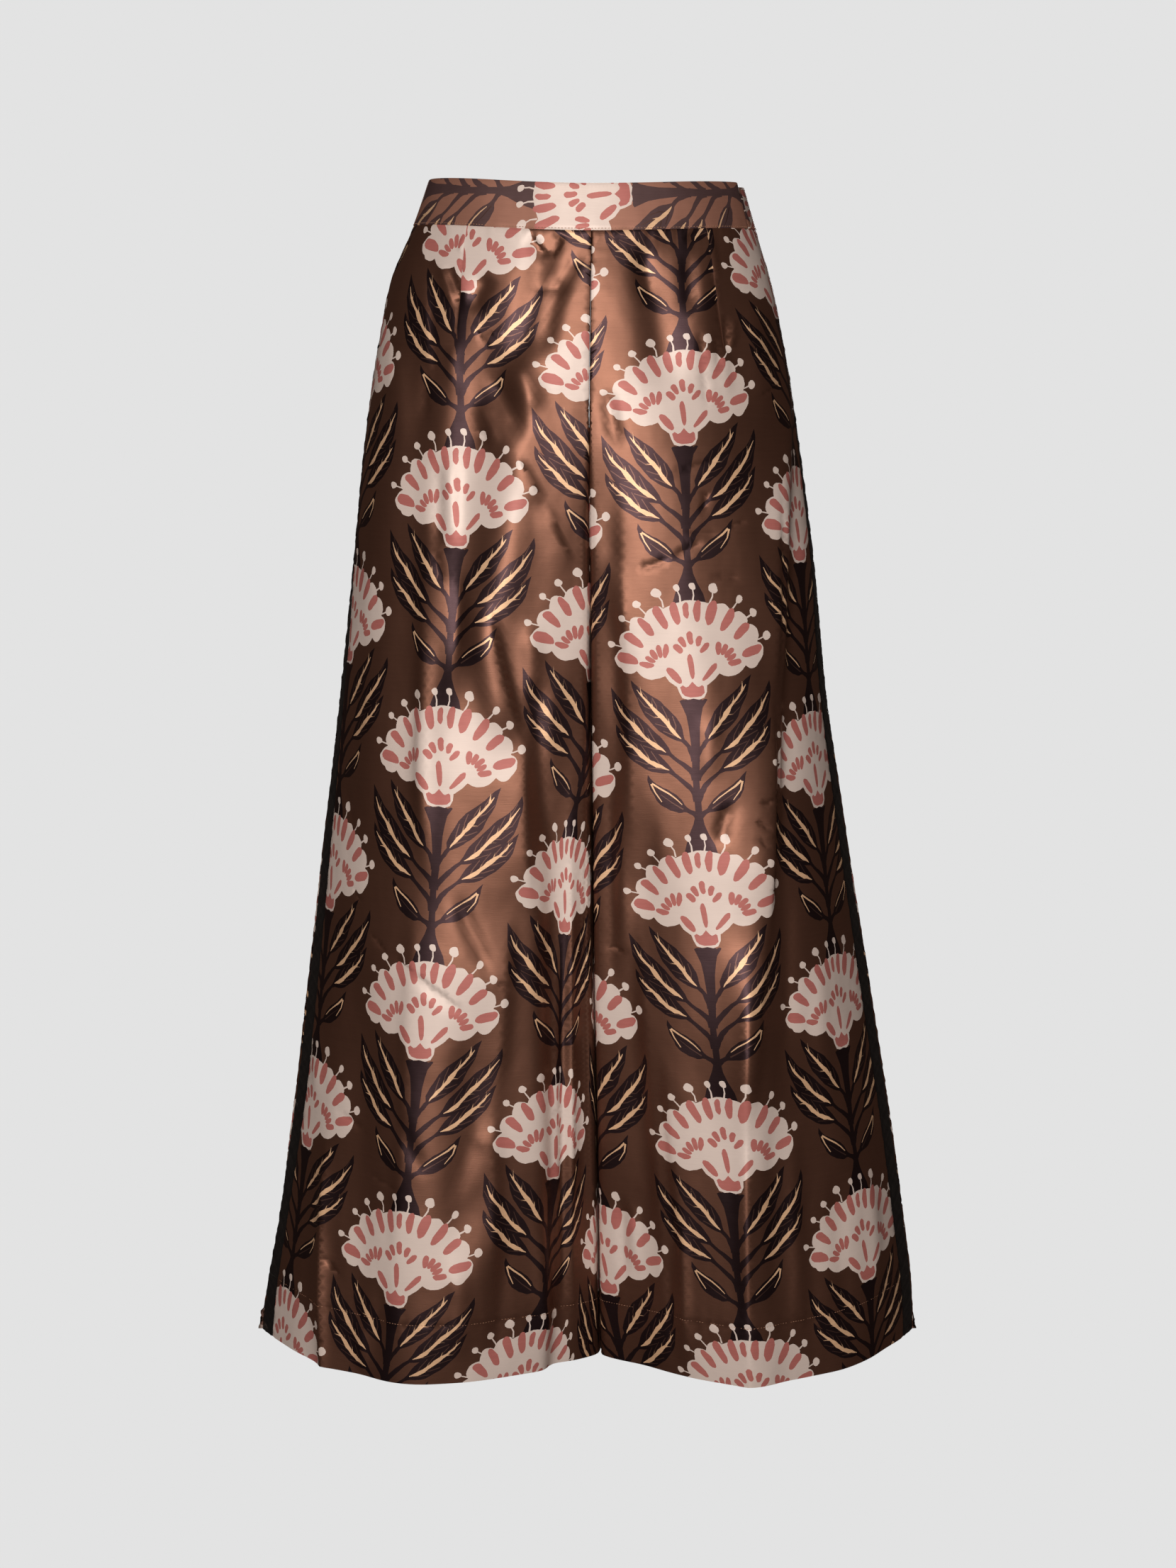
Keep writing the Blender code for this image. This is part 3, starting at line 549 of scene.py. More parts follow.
def pucker(seam, t, seed, distance):
    """A ripple along a seam that fades with the distance from it."""
    height, lengths, reach = PUCKERS[seam]
    return height * waves(t, lengths, seed) * np.exp(-distance / reach)


# ---------------------------------------------------------------- leg panels laid out flat
# s is the length across the cloth from the middle: positive on the face, negative on the
# leg's inner wall.
def panel_side(leg, face, z):
    """Where a panel ends at the stripe."""
    if face == "front":
        seam = stripe_front_seam(leg, z) + SEAM_GAP / 2
        return half_length(leg, "front", z) - seam
    return half_length(leg, "back", z) + stripe_back_seam(leg, z) - SEAM_GAP / 2


def crotch_reach(face, z):
    """How much of the inner wall there is at a height: 0 above the crotch curve, then 1."""
    down = np.clip((CROTCH_TOP[face] - z) / (CROTCH_TOP[face] - CROTCH_Z), 0.0, 1.0)
    return 1 - np.sqrt(1 - down ** 2)


def panel_middle(face, z):
    """Where a panel ends at the middle: the centre seam, the crotch curve or the inseam."""
    corner = section(face + "_inner", z)
    return -crotch_reach(face, z) * (corner - SEAM_GAP / 2)


def panel_surface(leg, face):
    """The function that puts a flat point of a leg panel in its place."""
    toward = -FACE_SIGN[face]
    seed = {"right": 3, "left": 5}[leg] + {"front": 10, "back": 20}[face]

    def plain(s, z):
        points = np.empty((len(z), 3))
        side = panel_side(leg, face, z) - s
        middle = s - panel_middle(face, z)
        top = -BAND_HALF - z
        hem = z - (HEM_Z + HEM_DEPTH)
        ripple = pucker("side", z, seed, side) + pucker("middle", z, seed + 1, middle)
        ripple += pucker("waist", s, seed + 2, top)
        ripple += pucker("hem", s, seed + 3, np.abs(hem))
        stitched = -0.00035 * np.exp(-(hem / GROOVE_REACH) ** 2)
        soft = SOFT_WAVE * waves(s + 0.25 * z, (0.045, 0.071, 0.113), seed + 4)
        soft = soft * waves(z, (0.19, 0.31, 0.47), seed + 5)
        lift = roll_in(side) + roll_in(middle) + roll_in(top) + ripple + stitched + soft
        on_face = s >= 0
        along = half_length(leg, face, z) - s
        if on_face.any():
            points[on_face] = cloth(leg, toward * along[on_face], z[on_face], lift[on_face])
        wall = ~on_face
        if wall.any():
            inward = -s[wall] / section(face + "_inner", z[wall])
            points[wall] = inner_wall(leg, face, inward, z[wall], lift[wall])
        return points

    def surface(s, z):
        reach = CORNER_ROUND * ease((CROTCH_TOP[face] - z) / 0.12)
        return rounded(plain, s, z, 0.0, reach)

    return surface


def steps(start, end, spacing):
    """Even steps from start to end, without the end."""
    count = max(1, round(abs(end - start) / spacing))
    return np.linspace(start, end, count + 1)[:-1]


def panel_rim(leg, face):
    """A leg panel's outline laid out flat."""
    top = -BAND_HALF - SEAM_GAP
    side = [(float(panel_side(leg, face, z)), z) for z in steps(top, HEM_Z, SPACING)]
    hem_from, hem_to = float(panel_side(leg, face, HEM_Z)), float(panel_middle(face, HEM_Z))
    hem = [(s, HEM_Z) for s in steps(hem_from, hem_to, SPACING)]
    inseam = [(float(panel_middle(face, z)), z) for z in steps(HEM_Z, CROTCH_Z, SPACING)]
    curve = []
    for turn in steps(math.pi / 2, 0.0, SPACING / 0.10):
        z = CROTCH_TOP[face] - (CROTCH_TOP[face] - CROTCH_Z) * math.sin(turn)
        curve.append((float(panel_middle(face, z)), z))
    centre = [(0.0, z) for z in steps(CROTCH_TOP[face], top, SPACING)]
    waist = [(s, top) for s in steps(0.0, float(panel_side(leg, face, top)), SPACING)]
    return side + hem + inseam + curve + centre + waist


# ---------------------------------------------------------------- drawing the print
# A repeat is drawn in millimetres round the foot of its flower, with y up along the stem.
ACROSS_REPEAT = 0.131        # from one stem to the next
DOWN_REPEAT = 0.2085         # from one flower to the next on a stem
MM = 0.001


def turned(points, angle, x=0.0, y=0.0):
    c, s = math.cos(angle), math.sin(angle)
    return [(x + px * c - py * s, y + px * s + py * c) for px, py in points]


def stroke(x, y, angle, length, width, count=12):
    """A brush stroke with round ends, a little fuller towards its outer end."""
    points = []
    for k in range(count):
        turn = 2 * math.pi * k / count
        c, s = math.cos(turn), math.sin(turn)
        along = length / 2 * math.copysign(abs(c) ** 0.75, c)
        points.append((along, width / 2 * s * (1 + 0.12 * c)))
    return turned(points, angle, x, y)


def bulge(start, end, height, count):
    """Points of an arc from start, swelling to the right of its direction by height."""
    dx, dy = end[0] - start[0], end[1] - start[1]
    size = math.hypot(dx, dy)
    points = []
    for k in range(count):
        t = k / count
        out = height * (1 - (2 * t - 1) ** 2) ** 0.8
        points.append((start[0] + dx * t + dy / size * out, start[1] + dy * t - dx / size * out))
    return points


FAN_CENTRE = 34.0            # height of the fan's centre above the flower's foot
FAN_WIDE, FAN_HIGH = 58.0, 44.5
FAN_TURNS = [-9, 14, 34, 52, 69, 111, 129, 147, 167, 189]   # where its lobes meet, in degrees
FAN_BULGES = [5.6, 6.2, 5.4, 5.0, 5.8, 4.6, 6.0, 5.2, 6.4]
LOWER_CUSPS = [(-45.0, 24.5), (-22.4, 19.5), (-11.8, 11.0)]
LOWER_BULGES = [3.4, 4.4, 0.8]

# Coral strokes: where each lies on its ring, in degrees, its length and its width.
OUTER_RING = [(10, 19.0, 8.0), (34, 17.5, 7.6), (53, 21.5, 7.2), (70, 20.5, 9.0), (83, 18.0, 6.2),
              (93, 13.5, 5.0), (103, 19.5, 7.0), (117, 21.5, 7.4), (133, 19.5, 6.6), (151, 18.0, 7.4),
              (172, 20.0, 8.4)]
CROWN = [(30, 10.5, 5.0), (59, 10.0, 4.8), (92, 11.5, 5.2), (124, 10.0, 5.0), (150, 10.5, 5.2)]
SPRAY = [(94, 11.5, 5.0), (72, 11.0, 4.6), (51, 11.0, 4.4), (31, 9.5, 4.2), (9, 12.0, 5.2)]
# Stamens: where each stands, in degrees, and the size of its tip.
STAMENS = [(14, 3.6), (36, 3.4), (51, 3.1), (72, 4.1), (87, 3.0), (98, 2.8), (113, 4.0), (129, 3.2),
           (144, 2.9), (167, 3.0)]


def ring_point(wide, high, centre, turn):
    """A point on an oval ring, turn being in degrees from the right."""
    return wide * math.cos(math.radians(turn)), centre + high * math.sin(math.radians(turn))


def fan_outline():
    """The cream fan: scalloped lobes over two side lobes and a neck."""
    cusps = [ring_point(FAN_WIDE, FAN_HIGH, FAN_CENTRE, turn) for turn in FAN_TURNS]
    points = []
    for k, height in enumerate(FAN_BULGES):
        points += bulge(cusps[k], cusps[k + 1], height, 10)
    left = [cusps[-1]] + LOWER_CUSPS
    for k, height in enumerate(LOWER_BULGES):
        points += bulge(left[k], left[k + 1], height, 7)
    foot = [(-12.0, 11.0), (-11.4, 6.0), (-9.0, 1.2), (-4.5, -0.8), (0.0, -0.3)]
    points += foot
    points += [(-x, y) for x, y in foot[-2::-1]]
    right = [(-x, y) for x, y in left]
    for k in range(len(LOWER_BULGES) - 1, -1, -1):
        points += bulge(right[k + 1], right[k], LOWER_BULGES[k], 7)
    return points


def flower_shapes():
    """Cream fan and stamens, then their coral strokes."""
    cream = [fan_outline()]
    coral = []
    for turn, radius in STAMENS:
        c, s = math.cos(math.radians(turn)), math.sin(math.radians(turn))
        x, y = ring_point(66, 57.5, FAN_CENTRE, turn)
        low, middle = FAN_CENTRE + (y - FAN_CENTRE) * 0.80, FAN_CENTRE + (y - FAN_CENTRE) * 0.9
        cream.append(thick_line([(x * 0.80, low), (x * 0.9 + 0.7, middle), (x, y)], 0.75, 0.5))
        cream.append(stroke(x + 1.4 * c, y + 1.4 * s, math.radians(turn + 30), 2.1 * radius, 1.85 * radius))
    for turn, length, width in OUTER_RING:
        x, y = ring_point(52.3, 43.8, 29, turn)
        coral.append(stroke(x, y, math.atan2(y - 16, x), length, width, 16))
    for turn, length, width in CROWN:
        x, y = ring_point(12.5, 15.5, 34.5, turn)
        coral.append(stroke(x, y, math.radians(90 + 0.72 * (turn - 90)), length, width))
    for side in (-1, 1):
        for turn, length, width in SPRAY:
            angle = math.radians(turn - 3 * side)
            reach = 8.6 + 0.42 * length
            x, y = side * (22.6 + reach * math.cos(angle)), 27 + reach * math.sin(angle)
            leaning = angle if side > 0 else math.pi - angle
            coral.append(stroke(x, y, leaning, length - 0.4 * side, width + 0.2 * side))
        leaning = math.radians(90 - side * 43)
        coral.append(stroke(side * 14.6, 20.8 + 0.8 * side, leaning, 17.5, 5.8 - 0.5 * side))
    coral.append(stroke(-0.6, 26.5, math.radians(94), 21.0, 5.2))
    cup = [(-9.6, 10.0), (-9.2, 5.2), (-6.6, 2.2), (-2.5, 0.9), (2.5, 0.9), (6.6, 2.2), (9.2, 5.2),
           (9.6, 10.0), (8.2, 11.4), (5.6, 10.0), (4.0, 10.4), (0.4, 14.0), (-3.2, 10.2), (-5.0, 9.6),
           (-7.6, 11.2)]
    coral.append(cup)
    return cream, coral


def thick_line(line, start, end):
    """A line of a changing half width as a closed shape."""
    left, right = [], []
    for k, (x, y) in enumerate(line):
        ax, ay = line[max(k - 1, 0)]
        bx, by = line[min(k + 1, len(line) - 1)]
        size = math.hypot(bx - ax, by - ay)
        nx, ny = -(by - ay) / size, (bx - ax) / size
        half_width = start + (end - start) * k / (len(line) - 1)
        left.append((x + nx * half_width, y + ny * half_width))
        right.append((x - nx * half_width, y - ny * half_width))
    return left + right[::-1]


# The stem's half width by its height, (y, half width).
STEM = [(-1.0, 11.6), (-7.0, 8.2), (-14.0, 6.0), (-24.0, 4.5), (-40.0, 3.6), (-70.0, 2.7),
        (-97.0, 2.7), (-105.0, 4.4), (-113.0, 8.0), (-122.0, 12.0), (-134.0, 15.0)]


def stem_shape():
    """The stem from its trumpet under the flower to its flare behind the next one."""
    crown = [(12.0 - 24.0 * k / 20, -1.0 + 0.9 * abs(math.sin(math.pi * k / 4))) for k in range(1, 20)]
    left = [(-width, y) for y, width in STEM]
    right = [(width, y) for y, width in reversed(STEM)]
    return crown + left + right


# Each leaf's middle line is a curve from its joint on the stem to its tip, through two pulls: these
# are its first four points. Then come its half width, the share of its length where the blade
# starts, and where on the blade its golden streak puts out thorns, below it when negative.
LEAVES = [
    ((1.0, -52.0), (3.5, -33.0), (30.0, -17.0), (50.0, 17.0), 9.2, 0.30, (0.30, -0.44, 0.62, 0.80)),
    ((1.0, -68.0), (6.0, -46.0), (57.0, -34.0), (68.0, 11.0), 9.6, 0.36, (0.26, -0.38, 0.50, 0.72)),
    ((1.0, -86.0), (5.0, -58.0), (50.0, -54.0), (66.0, -20.0), 8.6, 0.38, (0.32, 0.52, -0.62, 0.80)),
    ((1.0, -99.0), (10.0, -88.0), (29.0, -90.0), (40.0, -62.0), 7.0, 0.22, ()),
]


STALK = 1.7                  # half a leaf stalk's width


def curve_point(leaf, t):
    """A point of a leaf's middle line and the direction across it."""
    p = [np.array(leaf[k], dtype=float) for k in range(4)]
    u = 1 - t
    place = u ** 3 * p[0] + 3 * u * u * t * p[1] + 3 * u * t * t * p[2] + t ** 3 * p[3]
    slope = 3 * u * u * (p[1] - p[0]) + 6 * u * t * (p[2] - p[1]) + 3 * t * t * (p[3] - p[2])
    slope /= np.hypot(*slope)
    return place, np.array([-slope[1], slope[0]])


def leaf_width(leaf, t):
    """Half the leaf's width: a stalk, then a pointed blade."""
    half_width, start = leaf[4:6]
    blade = (t - start) / (1 - start)
    if blade <= 0:
        return STALK + 0.9 * (1 - t / start) ** 2
    return max(STALK * (1 - blade), half_width * math.sin(math.pi * blade ** 0.85) ** 0.9)


def leaf_shapes(leaf, mirror):
    """A leaf's dark blade, its fine veins and its golden streak."""
    sign = -1.0 if mirror else 1.0

    def at(t, off):
        place, across = curve_point(leaf, t)
        return (sign * (place[0] + across[0] * off), place[1] + across[1] * off)

    def wide(t, share):
        """A point at a share of the leaf's half width."""
        return at(t, share * leaf_width(leaf, t))

    half_width, start, thorns = leaf[4:]
    span = 1 - start
    ts = [k / 22 for k in range(22)]
    dark = [[wide(t, 1) for t in ts] + [at(1.0, 0.0)] + [wide(t, -1) for t in reversed(ts)]]
    veins, gold = [], []
    if not thorns:
        edge = [(0.36, 0.60), (0.50, 0.66), (0.65, 0.64), (0.80, 0.52), (0.90, 0.2)]
        for side in (-1, 1):
            shown = edge if side > 0 else edge[2:]
            gold.append(thick_line([wide(t, side * w) for t, w in shown], 0.3, 0.85))
        veins.append(thick_line([at(start + span * f, -0.4) for f in (0.12, 0.4, 0.66)], 0.5, 0.2))
        return dark, veins, gold
    for k in range(4):
        for side in (-1, 1):
            t = start + span * (0.16 + 0.17 * k + 0.04 * side)
            bend = at(t + 0.045, side * leaf_width(leaf, t + 0.05) * 0.45)
            veins.append(thick_line([at(t, side * 0.5), bend, wide(t + 0.13, side * 0.80)], 0.5, 0.3))

    def centre(f):
        """How far the streak's middle wanders off the leaf's."""
        return 0.7 * math.sin(8 * f + half_width)

    upper, lower = [], []
    for f in [0.06 + 0.82 * k / 14 for k in range(15)]:
        width = 0.25 + 1.50 * math.sin(math.pi * ((f - 0.06) / 0.82) ** 0.75)
        width *= 1 + 0.22 * math.sin(23 * f + half_width)
        upper.append(at(start + span * f, centre(f) + width))
        lower.append(at(start + span * f, centre(f) - width))
    gold.append(upper + lower[::-1])
    for thorn in thorns:
        side, f = math.copysign(1.0, thorn), abs(thorn)
        c = centre(f)
        gold.append([at(start + span * (f + along), c + side * out)
                     for along, out in ((-0.035, 0.0), (0.025, 0.0), (0.10, 4.4), (0.05, 2.0))])
    return dark, veins, gold


def repeat_shapes():
    """All the shapes of one repeat, from the lowest layer to the top one."""
    dark, veins, gold = [stem_shape()], [], []
    for leaf in LEAVES:
        for mirror in (False, True):
            d, v, g = leaf_shapes(leaf, mirror)
            dark, veins, gold = dark + d, veins + v, gold + g
    cream, coral = flower_shapes()
    layers = (("aubergine", dark), ("vein", veins), ("gold", gold), ("cream", cream), ("coral", coral))

    def painted(points):
        """The shapes' edges waver a little, as a brush does."""
        return [(x + 0.45 * math.sin(0.31 * y + 1.0) + 0.25 * math.sin(0.83 * y + 0.4 * x),
                 y + 0.45 * math.sin(0.27 * x + 2.0) + 0.25 * math.sin(0.71 * x - 0.5 * y))
                for x, y in points]

    return [(colour, [painted(shape) for shape in shapes]) for colour, shapes in layers]


REPEAT = repeat_shapes()


def print_shapes(to_flat, columns, rows, rim):
    """The print's shapes that touch a piece's outline, laid by to_flat(u, v), lowest first."""
    corners = np.array(rim)
    low, high = corners.min(axis=0), corners.max(axis=0)
    layers = []
    for colour, shapes in REPEAT:
        for i in columns:
            for j in rows:
                u0 = i * ACROSS_REPEAT
                v0 = (j + 0.5 * (i % 2)) * DOWN_REPEAT
                for shape in shapes:
                    points = to_flat(np.array([u0 + x * MM for x, _ in shape]),
                                     np.array([v0 + y * MM for _, y in shape]))
                    if (points.max(axis=0) > low).all() and (points.min(axis=0) < high).all():
                        layers.append((colour, points, ""))
    return layers


# ---------------------------------------------------------------- building closed shells
def inside(points, rim):
    """Which points are inside a closed outline."""
    x, y = points[:, 0], points[:, 1]
    result = np.zeros(len(points), dtype=bool)
    for (ax, ay), (bx, by) in zip(rim, rim[1:] + rim[:1]):
        if ay == by:
            continue
        crosses = (ay > y) != (by > y)
        result ^= crosses & (x < (bx - ax) * (y - ay) / (by - ay) + ax)
    return result


def signed_area(points):
    """The area inside an outline, negative when it runs clockwise."""
    following = np.roll(points, -1, axis=0)
    return (points[:, 0] * following[:, 1] - following[:, 0] * points[:, 1]).sum() / 2


def anticlockwise(points):
    """An outline in the direction that the triangulation needs."""
    points = np.array(points)
    return points if signed_area(points) > 0 else points[::-1]


def flat_area(rim):
    return float(signed_area(anticlockwise(rim)))


def lattice(rim, spacing, bends):
    """Points inside a flat piece, twice as close where it bends."""
    corners = np.array(rim)
    low, high = corners.min(axis=0), corners.max(axis=0)
    step, rise = spacing / 2, spacing * 0.45
    rows = []
    for j, y in enumerate(np.arange(low[1] + rise, high[1], rise)):
        i = np.arange(int((high[0] - low[0]) / step) + 1)
        x = low[0] + step * (i + 0.25 + 0.5 * (j % 2))
        coarse = (j % 2 == 0) & ((i + j // 2) % 2 == 0)
        rows.append(np.column_stack([x, np.full(len(x), y), coarse]))
    points = np.vstack(rows)
    points = points[inside(points, rim)]
    keep = points[:, 2] > 0
    if bends:
        keep |= bends(points[:, 0], points[:, 1])
    return points[keep, :2]


def edge_rows(rim):
    """Rows of points along a piece's outline, so that its edges roll in evenly."""
    corners = anticlockwise(rim)
    points = np.empty((2 * len(corners), 2))
    points[0::2], points[1::2] = corners, (corners + np.roll(corners, -1, axis=0)) / 2
    along = np.roll(points, -1, axis=0) - np.roll(points, 1, axis=0)
    inward = np.column_stack([-along[:, 1], along[:, 0]]) / np.hypot(*along.T)[:, None]
    rows = np.vstack([points + inward * distance for distance in EDGE_ROWS])
    return rows[inside(rows, rim)]


def cut_out(rim, layers, grid, dart):
    """Triangles of a flat piece and the layer that shows on each: -1 is the bare cloth."""
    corners = anticlockwise(rim)
    verts = [Vector(p) for p in corners]
    faces = [list(range(len(rim)))]
    for _, points, _ in layers:
        first = len(verts)
        verts += [Vector(p) for p in anticlockwise(points)]
        faces.append(list(range(first, first + len(points))))
    edges = []
    if dart:
        at_point, slope, z_point = dart
        first = len(verts)
        verts += [Vector((at_point + slope * (-BAND_HALF - z_point), -BAND_HALF)),
                  Vector((at_point, z_point)), Vector((corners[:, 0].max(), z_point))]
        edges = [(first, first + 1), (first + 1, first + 2)]
    verts += [Vector(p) for p in grid]
    flat, _, triangles, _, _, sources = delaunay_2d_cdt(verts, edges, faces, 1, 1e-6, True)
    flat = np.array([tuple(p) for p in flat])
    chosen = [k for k, (triangle, source) in enumerate(zip(triangles, sources))
              if 0 in source and len(triangle) == 3]
    sources = [sources[k] for k in chosen]
    kept = np.array([triangles[k] for k in chosen])
    a, b, c = flat[kept[:, 0]], flat[kept[:, 1]], flat[kept[:, 2]]
    ab, ac = b - a, c - a
    areas = np.abs(ab[:, 0] * ac[:, 1] - ab[:, 1] * ac[:, 0]) / 2
    covered = np.zeros(len(faces))
    for source, area in zip(sources, areas):
        covered[source] += area
    # a shape that the triangulation spreads far beyond its own outline is left out
    spilt = {k for k in range(1, len(faces)) if covered[k] > 2 * flat_area(layers[k - 1][1]) + 1e-6}
    far = np.zeros(len(kept), dtype=bool)
    if dart:
        middle = (a + b + c) / 3
        far = (middle[:, 1] > z_point) & (middle[:, 0] > at_point + slope * (middle[:, 1] - z_point))
    hidden = {beyond: {k + 1 for k, layer in enumerate(layers) if layer[2] == elsewhere} | spilt
              for beyond, elsewhere in ((True, "near"), (False, "far"))}
    shown = np.array([max(k for k in source if k not in hidden[bool(beyond)]) - 1
                      for source, beyond in zip(sources, far)])
    used = np.unique(kept)
    renumber = np.full(len(flat), -1)
    renumber[used] = np.arange(len(used))
    return flat[used], renumber[kept], shown


def surface_normals(surface, flat, turn):
    """Outward directions of the placed surface; turn is 1 where s, z and outward are right-handed."""
    s, z = flat[:, 0], flat[:, 1]
    across = surface(s + SLOPE_STEP, z) - surface(s - SLOPE_STEP, z)
    up = surface(s, z + SLOPE_STEP) - surface(s, z - SLOPE_STEP)
    normal = np.cross(across, up) * turn
    return normal / np.linalg.norm(normal, axis=1)[:, None]


def add_object(name, data):
    obj = bpy.data.objects.new(name, data)
    bpy.context.collection.objects.link(obj)
    return obj


def cloth_object(name, points, faces, flat, materials, slots=None, normals=None):
    """A smooth object from its points, each with its place on the flat cloth."""
    mesh = bpy.data.meshes.new(name)
    mesh.from_pydata(points, [], faces)
    for key in materials:
        mesh.materials.append(MATERIALS[key])
    if slots:
        mesh.polygons.foreach_set("material_index", slots)
    mesh.shade_smooth()
    corner_verts = np.empty(len(mesh.loops), dtype=int)
    mesh.loops.foreach_get("vertex_index", corner_verts)
    if normals is not None:
        mesh.normals_split_custom_set(normals[corner_verts].tolist())
    mesh.uv_layers.new(name="flat").data.foreach_set("uv", flat[corner_verts].ravel())
    return add_object(name, mesh)


def shell(name, rim, layers, surface, turn, wall, materials, reverse, spacing=SPACING, bends=None, dart=None):
    """One closed thin shell: the printed outer surface, its reverse and the rim between them."""
    grid = np.vstack([lattice(rim, spacing, bends), edge_rows(rim)])
    flat, triangles, shown = cut_out(rim, layers, grid, dart)
    points = surface(flat[:, 0], flat[:, 1])
    normals = surface_normals(surface, flat, turn)
    inner = points - normals * wall(flat[:, 1])[:, None]
    a, b, c = triangles.T
    sides = np.cross(points[b] - points[a], points[c] - points[a])
    flipped = (sides * normals[a]).sum(axis=1) < 0
    if flipped.mean() > 0.5:
        triangles = triangles[:, ::-1]
    count = len(points)
    edges = np.vstack([triangles[:, [0, 1]], triangles[:, [1, 2]], triangles[:, [2, 0]]])
    known = set(map(tuple, edges))
    border = sorted((a, b) for a, b in known if (b, a) not in known)
    quads = [(b, a, a + count, b + count) for a, b in border]

    keys = dict.fromkeys([materials[""], *materials.values(), *reverse.values()])
    slots = {key: k for k, key in enumerate(keys)}
    colours = [layers[k][0] if k >= 0 else "" for k in shown]
    outer_slots = [slots[materials[c]] for c in colours]
    inner_slots = [slots[reverse.get(c, reverse[""])] for c in colours]
    rim_slots = [slots[materials[""]]] * len(quads)

    faces = [tuple(t) for t in triangles.tolist()]
    faces += [(c + count, b + count, a + count) for a, b, c in triangles.tolist()]
    return cloth_object(name, np.vstack([points, inner]).tolist(), faces + quads, np.vstack([flat, flat]),
                        slots, outer_slots + inner_slots + rim_slots, np.vstack([normals, -normals]))


# ---------------------------------------------------------------- materials
def new_material(name):
    material = bpy.data.materials.new(name)
    material.use_nodes = True
    nodes = material.node_tree.nodes
    return material, nodes, material.node_tree.links, nodes["Principled BSDF"]


def noise(nodes, links, vector, scale, detail):
    """A noise texture on the flat cloth, scale being a number or one for each direction."""
    texture = nodes.new("ShaderNodeTexNoise")
    texture.inputs["Detail"].default_value = detail
    if isinstance(scale, tuple):
        stretch = nodes.new("ShaderNodeMapping")
        stretch.inputs["Scale"].default_value = (*scale, 1.0)
        links.new(vector, stretch.inputs["Vector"])
        vector, scale = stretch.outputs["Vector"], 1.0
    texture.inputs["Scale"].default_value = scale
    links.new(vector, texture.inputs["Vector"])
    return texture.outputs["Fac"]


def math_node(nodes, links, operation, first, second, third=None):
    node = nodes.new("ShaderNodeMath")
    node.operation = operation
    for k, value in enumerate((first, second, third)):
        if value is None:
            continue
        if isinstance(value, float):
            node.inputs[k].default_value = value
        else:
            links.new(value, node.inputs[k])
    return node.outputs[0]


def bump(nodes, links, height, strength, distance):
    node = nodes.new("ShaderNodeBump")
    node.inputs["Strength"].default_value = strength
    node.inputs["Distance"].default_value = distance
    links.new(height, node.inputs["Height"])
    return node


def satin(name, colour, roughness=0.48, metal=0.86, vary=0.10, crumple=0.42, level=0.4):
    """Satin: fine crosswise threads with slubs, an uneven tone, soft crumples and a broad sheen."""
    material, nodes, links, shader = new_material(name)
    shader.inputs["Roughness"].default_value = roughness
    shader.inputs["Metallic"].default_value = metal
    shader.inputs["Specular IOR Level"].default_value = level
    shader.inputs["Specular Tint"].default_value = (1.0, 0.82, 0.72, 1.0)
    uv = nodes.new("ShaderNodeUVMap")
    uv.uv_map = "flat"
    flat = uv.outputs["UV"]
    threads = noise(nodes, links, flat, (90.0, 1500.0), 2.0)
    slubs = noise(nodes, links, flat, (18.0, 420.0), 1.0)
    cloud = noise(nodes, links, flat, 24.0, 4.0)
    tone = math_node(nodes, links, "MULTIPLY", cloud, 0.35)
    tone = math_node(nodes, links, "MULTIPLY_ADD", threads, 0.35, tone)
    tone = math_node(nodes, links, "MULTIPLY_ADD", slubs, 0.30, tone)
    mix = nodes.new("ShaderNodeMix")
    mix.data_type = "RGBA"                     # its colour inputs are numbers 6 and 7
    mix.inputs[6].default_value = (*[c * (1 - 2 * vary) for c in colour], 1.0)
    mix.inputs[7].default_value = (*[min(c * (1 + 2 * vary), 1.0) for c in colour], 1.0)
    links.new(tone, mix.inputs[0])
    links.new(mix.outputs[2], shader.inputs["Base Color"])
    crumples = noise(nodes, links, flat, (26.0, 17.0), 2.0)
    weave = bump(nodes, links, threads, 0.12, 0.0004)
    soft = bump(nodes, links, crumples, crumple, 0.0030)
    links.new(soft.outputs["Normal"], weave.inputs["Normal"])
    links.new(weave.outputs["Normal"], shader.inputs["Normal"])
    return material


def printed(name, colour, vary, metal=0.15):
    """Opaque print on the satin: its pigment takes most of the sheen away."""
    return satin(name, colour, roughness=0.50, metal=metal, vary=vary, level=0.3)


MATERIALS = {
    "ground": satin("satin_ground", GROUND),
    "cream": printed("print_cream", CREAM, 0.04),
    "coral": printed("print_coral", CORAL, 0.14),
    "aubergine": satin("satin_aubergine", AUBERGINE, roughness=0.46, metal=0.92, vary=0.16),
    "gold": printed("print_gold", GOLD, 0.22, 0.35),
    "vein": satin("satin_vein", VEIN),
    # The band's copies of the ground and aubergine have painted light: lighter colours that make the band
    # look evenly lit.
    "band_painted_light_ground": satin("satin_band_painted_light_ground", BAND_PAINTED_LIGHT_GROUND, roughness=0.60, metal=0.45),
    "band_painted_light_aubergine": satin("satin_band_painted_light_aubergine", BAND_PAINTED_LIGHT_AUBERGINE, roughness=0.60, metal=0.45, vary=0.16),
    "reverse": satin("satin_reverse", REVERSE, roughness=0.70, metal=0.0),
    "reverse_light": satin("satin_reverse_light", REVERSE_LIGHT, roughness=0.70, metal=0.0),
    "black": satin("satin_black", BLACK, roughness=0.42, metal=0.0, vary=0.2, crumple=0.8),
    "thread": satin("thread_brown", THREAD, roughness=0.55, metal=0.0, vary=0.2),
    "black_thread": satin("thread_black", BLACK_THREAD, roughness=0.55, metal=0.0, vary=0.2),
}
PRINTED = {"": "ground", **{colour: colour for colour in ("aubergine", "vein", "gold", "cream", "coral")}}
